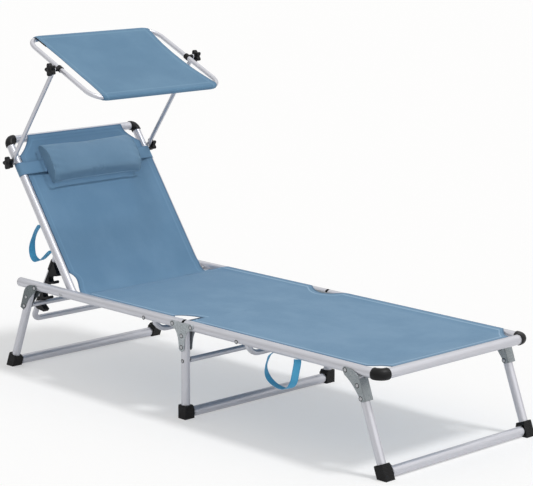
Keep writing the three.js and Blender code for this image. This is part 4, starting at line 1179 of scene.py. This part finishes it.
# Head pillow. A half-round bolster with flat ends in the same cloth, softly filled, piped round its
# ends and along its lower seam. It rests on the band, and bulges where the filling presses.
pillow_weave = woven("blue_pillow_cloth", shade(113, 147, 174), shade(107, 141, 168), shade(128, 160, 186),
                     shade(66, 97, 124))
pillow_low, pillow_high = 0.350, 0.488
pillow_end = 0.176
pillow_base = 0.0148
pillow_deep = 0.047
pillow_middle = (pillow_low + pillow_high) / 2
pillow_half = (pillow_high - pillow_low) / 2 - 0.003


def pillow_edge(turn):
    """A point of the bolster's round front, from its lower seam at 0 to its upper one at 1."""
    angle = math.pi * turn
    forward = pillow_base + 0.004 + (pillow_deep - 0.006) * math.sin(angle) ** 0.8
    return forward, pillow_middle - pillow_half * math.cos(angle)


pillow = bmesh.new()
section = [(pillow_base, pillow_low + 0.002)] + [pillow_edge(k / 18)
                                                 for k in range(19)] + [(pillow_base, pillow_high - 0.002)]
slab(pillow, section, -pillow_end + 0.003, pillow_end - 0.003, soften=0.003)
bmesh.ops.recalc_face_normals(pillow, faces=pillow.faces)
pillow_piece = bpy.data.objects.new("head_pillow", bpy.data.meshes.new("head_pillow"))
pillow.to_mesh(pillow_piece.data)
pillow.free()
scene.collection.objects.link(pillow_piece)
remesh = pillow_piece.modifiers.new("even", "REMESH")
remesh.mode, remesh.voxel_size = "VOXEL", 0.0048


def settle(obj):
    """Apply every modifier of a piece to its mesh."""
    graph = bpy.context.evaluated_depsgraph_get()
    made = bpy.data.meshes.new_from_object(obj.evaluated_get(graph), depsgraph=graph)
    obj.modifiers.clear()
    obj.data = made


settle(pillow_piece)
rest = [v.co.copy() for v in pillow_piece.data.vertices]
filling = pillow_piece.modifiers.new("filling", "CLOTH")
filling.settings.use_pressure = True
filling.settings.uniform_pressure_force = 4
filling.settings.effector_weights.gravity = 0
filling.settings.mass = 0.3
filling.settings.tension_stiffness = filling.settings.compression_stiffness = 30
for number in range(1, 21):
    scene.frame_set(number)
settle(pillow_piece)
scene.frame_set(1)
furthest = 0.006
for v, start in zip(pillow_piece.data.vertices, rest):
    move = v.co - start
    at_end = min(1, max(0, (abs(start.y) - pillow_end + 0.020) / 0.014))
    v.co = start + move * min(1, furthest / max(move.length, 1e-9)) * (1 - at_end)
shaped = bmesh.new()
shaped.from_mesh(pillow_piece.data)
bpy.data.objects.remove(pillow_piece)
bmesh.ops.smooth_vert(shaped, verts=shaped.verts, factor=0.5, use_axis_x=True, use_axis_y=True,
                      use_axis_z=True)
bmesh.ops.subdivide_edges(shaped, edges=shaped.edges, cuts=1, use_grid_fill=True, smooth=0.0)
lay = shaped.verts.layers.float_vector.new("lay")
for v in shaped.verts:
    front = min(1, max(0, (v.co.x - pillow_base - 0.006) / 0.02))
    end_gap = pillow_end - abs(v.co.y)
    seam = math.exp(-((v.co.z - pillow_low - 0.012) / 0.0045) ** 2)
    tuck = math.exp(-end_gap / 0.03) * math.sin(v.co.z * 260 + v.co.y * 90) * 0.0009
    slack = noise.noise(Vector((v.co.y * 11, v.co.z * 24, 3.1))) * 0.0018
    v.co.x += front * (slack + tuck) - seam * 0.0022 * min(1, front + 0.4)
    v.co.x = max(v.co.x, pillow_base)
    v.co.y = min(max(v.co.y, -pillow_end - 0.003), pillow_end + 0.003)
    v[lay] = (v.co.y, v.co.z + v.co.x, 0.05)
pillow_tree = BVHTree.FromBMesh(shaped)
pillow_piece = piece("head_pillow_cushion", shaped, pillow_weave, "backrest", ["pillow"],
                     back_hinge, crease=70)
open_to_key = bpy.data.collections.new("open_to_key")
key_light.light_linking.blocker_collection = open_to_key


def let_key_pass(obj):
    """The key light casts no shadow of this piece on what lies behind it."""
    open_to_key.objects.link(obj)
    open_to_key.collection_objects[-1].light_linking.link_state = "EXCLUDE"


let_key_pass(pillow_piece)

piping = bmesh.new()
piping_lay = piping.verts.layers.float_vector.new("lay")
seams = []
for side in (-1, 1):
    seams.append([Vector((pillow_edge(k / 28)[0] + 0.006, side * (pillow_end + 0.006),
                          pillow_edge(k / 28)[1]))
                  for k in range(29)])
for up in (-0.004, 0.012):
    seams.append([Vector((pillow_base + 0.010, pillow_end * (k / 20 - 1), pillow_low + up - 0.004))
                  for k in range(41)])
for seam in seams:
    seam = [pillow_tree.find_nearest(spot)[0] for spot in seam]
    facing = Vector((0, 0, 1)).rotation_difference(seam[1] - seam[0]).to_matrix().to_4x4()
    verts, edges, lay = first_ring(piping, 0.0021, Matrix.Translation(seam[0]) @ facing, 8)
    bmesh.ops.contextual_create(piping, geom=edges)
    for a, b, c in zip(seam, seam[1:], seam[2:] + [seam[-1] * 2 - seam[-2]]):
        verts, edges = ring_of(bmesh.ops.extrude_edge_only(piping, edges=edges)["geom"])
        bmesh.ops.translate(piping, vec=b - a, verts=verts)
        bmesh.ops.rotate(piping, cent=b, matrix=(b - a).rotation_difference(c - b).to_matrix(), verts=verts)
    bmesh.ops.contextual_create(piping, geom=edges)
for v in piping.verts:
    v[piping_lay] = (v.co.y, v.co.z, 0.05)
piece("head_pillow_piping", piping, pillow_weave, "backrest", axes=back_hinge)

# Canopy cloth. One greyer sheet whose two ends are sewn into sleeves round the front and rear
# tubes, its free sides hollowed, so that it hangs in one shallow curve.
shade_cloth = woven("blue_canopy_cloth", shade(99, 138, 168), shade(94, 132, 162), shade(112, 149, 177),
                    shade(66, 99, 127))
canopy_cloth_half = 0.226
canopy_waist = 0.013
sleeve_radius = 0.0086
sleeve_turns = [math.radians(300 * k / 26) for k in range(27)]
hood_line = [(-canopy_half - sleeve_radius * math.sin(a), sleeve_radius * math.cos(a))
             for a in reversed(sleeve_turns)]
for k in range(1, 60):
    sag = 0.0055 * math.sin(math.pi * k / 60) ** 1.2
    hood_line.append((canopy_half * (2 * k / 60 - 1), sleeve_radius - sag))
hood_line += [(canopy_half + sleeve_radius * math.sin(a), sleeve_radius * math.cos(a))
              for a in sleeve_turns]
hood = bmesh.new()
lay = hood.verts.layers.float_vector.new("lay")
line = [hood.verts.new((x, -1, z)) for x, z in hood_line]
for v, length in zip(line, measured(hood_line)):
    v[lay] = (0, length, 0)
edges = [hood.edges.new(pair) for pair in zip(line, line[1:])]
rows = 44
for k in range(rows):
    verts, edges = ring_of(bmesh.ops.extrude_edge_only(hood, edges=edges)["geom"])
    bmesh.ops.translate(hood, vec=(0, 2 / rows, 0), verts=verts)
for v in hood.verts:
    share = min(1, abs(v.co.x) / canopy_half)
    across = v.co.y
    top = abs(v.co.x) < canopy_half and v.co.z > 0
    width = canopy_cloth_half - canopy_waist * (1 - share * share)
    width -= 0 if top else 0.004 * min(1, max(0, 1 - (v.co.z + 0.001) / 0.0096))
    if top:
        v.co.z -= 0.0030 * (1 - across * across) * (1 - share * share)
        v.co.z += noise.noise(Vector((v.co.x * 8, across * 3, 7.7))) * 0.0012 * (1 - share * share)
    v.co.y = across * width
    past_bend = max(0, abs(v.co.y) - canopy_side + canopy_bend)
    v.co.x -= math.copysign(canopy_bend - math.sqrt(canopy_bend ** 2 - past_bend ** 2), v.co.x) * share ** 6
    seam_gap = abs(canopy_half - 0.012 - abs(v.co.x)) + hem_width if top else 1
    v[lay].x = v.co.y
    # The lay gives the free sides the cloth's dark rim, painted shade, and the seam beside each sleeve the
    # pale line, a painted highlight.
    v[lay].z = min(width - abs(v.co.y) + 0.003, seam_gap)
bmesh.ops.recalc_face_normals(hood, faces=hood.faces)
hood_area = sum(f.calc_area() for f in hood.faces)
bmesh.ops.solidify(hood, geom=hood.faces[:], thickness=0.0009)
hood_piece = piece("canopy_sheet", hood, shade_cloth, "canopy", ["canopy_cloth"],
                   canopy_axes, crease=60)

let_key_pass(hood_piece)

# A thin black strip under the canopy cloth's rear near corner, a painted shadow where the cloth's underside
# lies in shade.
shade_strip = bmesh.new()
shade_strip_route = [(-0.170, -0.2255, 0.0098), (-0.150, -0.2232, 0.0088), (-0.120, -0.2203, 0.0072)]
bent_tube(shade_strip, shade_strip_route[::2], 0, 0.0019, 0.0008, around=10, depth=0.0004)
piece("canopy_shade_strip", shade_strip, black.material, "canopy", axes=canopy_axes)

# Carrying loops. Bright blue ribbed webbing, one loop below the foot part and one behind the back,
# each a band that twists as it hangs. The ends are tacked to the underside of a rail.
web_width = 0.020
web_gauge = 0.0013

webbing = Finish("blue_webbing")
lay_of_web = webbing.attribute()
ribs = webbing.node("Math", {"operation": "SINE"}, {0: webbing.part(lay_of_web,
                                                                    1) * (2 * math.pi / 0.0017)})
edge = webbing.ease(abs(webbing.part(lay_of_web, 0)), 0.0074, 0.0086)
tone = webbing.noise(lay_of_web, 30.0, 3.0)
webbing_base = webbing.blend(webbing.ease(tone, 0.3, 0.7), shade(58, 156, 204), shade(76, 174, 220))
webbing_base = webbing.blend(edge * 0.4, webbing_base, shade(46, 124, 168))
webbing.surface(
    Base_Color=webbing.blend((ribs * 0.5 + 0.5) * 0.2, webbing_base, shade(116, 200, 236)),
    Roughness=webbing.ease(tone, 0.3, 0.7, 0.55, 0.68),
    Normal=webbing.bump(ribs * 0.5 + edge * 0.6, 0.5, 0.0004),
    Sheen_Weight=0.15,
)


def softened(points, steps):
    """A soft path through points of any number of values."""
    made = []
    last = len(points) - 1
    for i in range(last):
        p0, p1, p2, p3 = (points[max(0, min(last, i + d))] for d in (-1, 0, 1, 2))
        for k in range(steps):
            t = k / steps
            made.append([0.5 * (2 * b + (c - a) * t + (2 * a - 5 * b + 4 * c - d) * t * t
                                + (3 * b - a - 3 * c + d) * t ** 3)
                         for a, b, c, d in zip(p0, p1, p2, p3)])
    return made + [list(points[-1])]


def strap(name, route, axes, body, node):
    """A flat band along x, y, z, its width along Y turned by a share of X that the fourth value gives."""
    path = softened(route, 8)
    spots = [Vector(p[:3]) for p in path]
    lengths = measured(spots)
    bm = bmesh.new()
    lay = bm.verts.layers.float_vector.new("lay")
    verts = [bm.verts.new((0, 0, 0)) for _ in range(7)]
    edges = [bm.edges.new(pair) for pair in zip(verts, verts[1:])]
    rows = [verts]
    for _ in spots[1:]:
        verts, edges = ring_of(bmesh.ops.extrude_edge_only(bm, edges=edges)["geom"])
        rows.append(verts)
    for i, row in enumerate(rows):
        ahead = (spots[min(i + 1, len(spots) - 1)] - spots[max(i - 1, 0)]).normalized()
        across = Vector((path[i][3], 1, 0))
        across = (across - ahead * across.dot(ahead)).normalized()
        for j, v in enumerate(row):
            offset = (j / 6 - 0.5) * web_width
            v.co = spots[i] + across * offset
            v[lay] = (offset, lengths[i], 0)
    bmesh.ops.recalc_face_normals(bm, faces=bm.faces)
    area = sum(f.calc_area() for f in bm.faces)
    bmesh.ops.solidify(bm, geom=bm.faces[:], thickness=web_gauge)
    band = piece(name, bm, webbing.material, body, [node], axes)
    return band


foot_strap = strap("foot_webbing_loop", [
    (0.350, -0.287, -0.0152, -0.3), (0.344, -0.292, -0.022, -0.4), (0.338, -0.2935, -0.036, -0.55),
    (0.332, -0.2935, -0.052, -0.6),
    (0.332, -0.2935, -0.067, -0.4), (0.340, -0.2935, -0.083, -0.1), (0.356, -0.2935, -0.095, 0.1),
    (0.378, -0.2935, -0.102, 0.1),
    (0.402, -0.2935, -0.104, 0.2), (0.424, -0.2935, -0.096, 0.4), (0.438, -0.2935, -0.078, 0.8),
    (0.445, -0.2935, -0.052, 0.9),
    (0.450, -0.2925, -0.026, 0.9), (0.446, -0.288, -0.0152, 0.7),
], middle, "foot_frame", "foot_loop")
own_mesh(foot_strap)
back_strap = strap("back_webbing_loop", [
    (-0.0135, -0.2560, 0.240, 0.0), (-0.022, -0.2570, 0.2385, -0.2), (-0.040, -0.2578, 0.2335, -0.5),
    (-0.060, -0.2578, 0.225, -0.5),
    (-0.080, -0.2578, 0.212, 0.0), (-0.095, -0.2578, 0.194, 0.5), (-0.101, -0.2578, 0.174, 0.7),
    (-0.093, -0.2578, 0.157, 0.5),
    (-0.073, -0.2578, 0.148, 0.2), (-0.048, -0.2578, 0.147, 0.3), (-0.024, -0.2572, 0.149, 0.3),
    (-0.0135, -0.2555, 0.150, 0.1),
], back_hinge, "backrest", "back_loop")
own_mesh(back_strap)
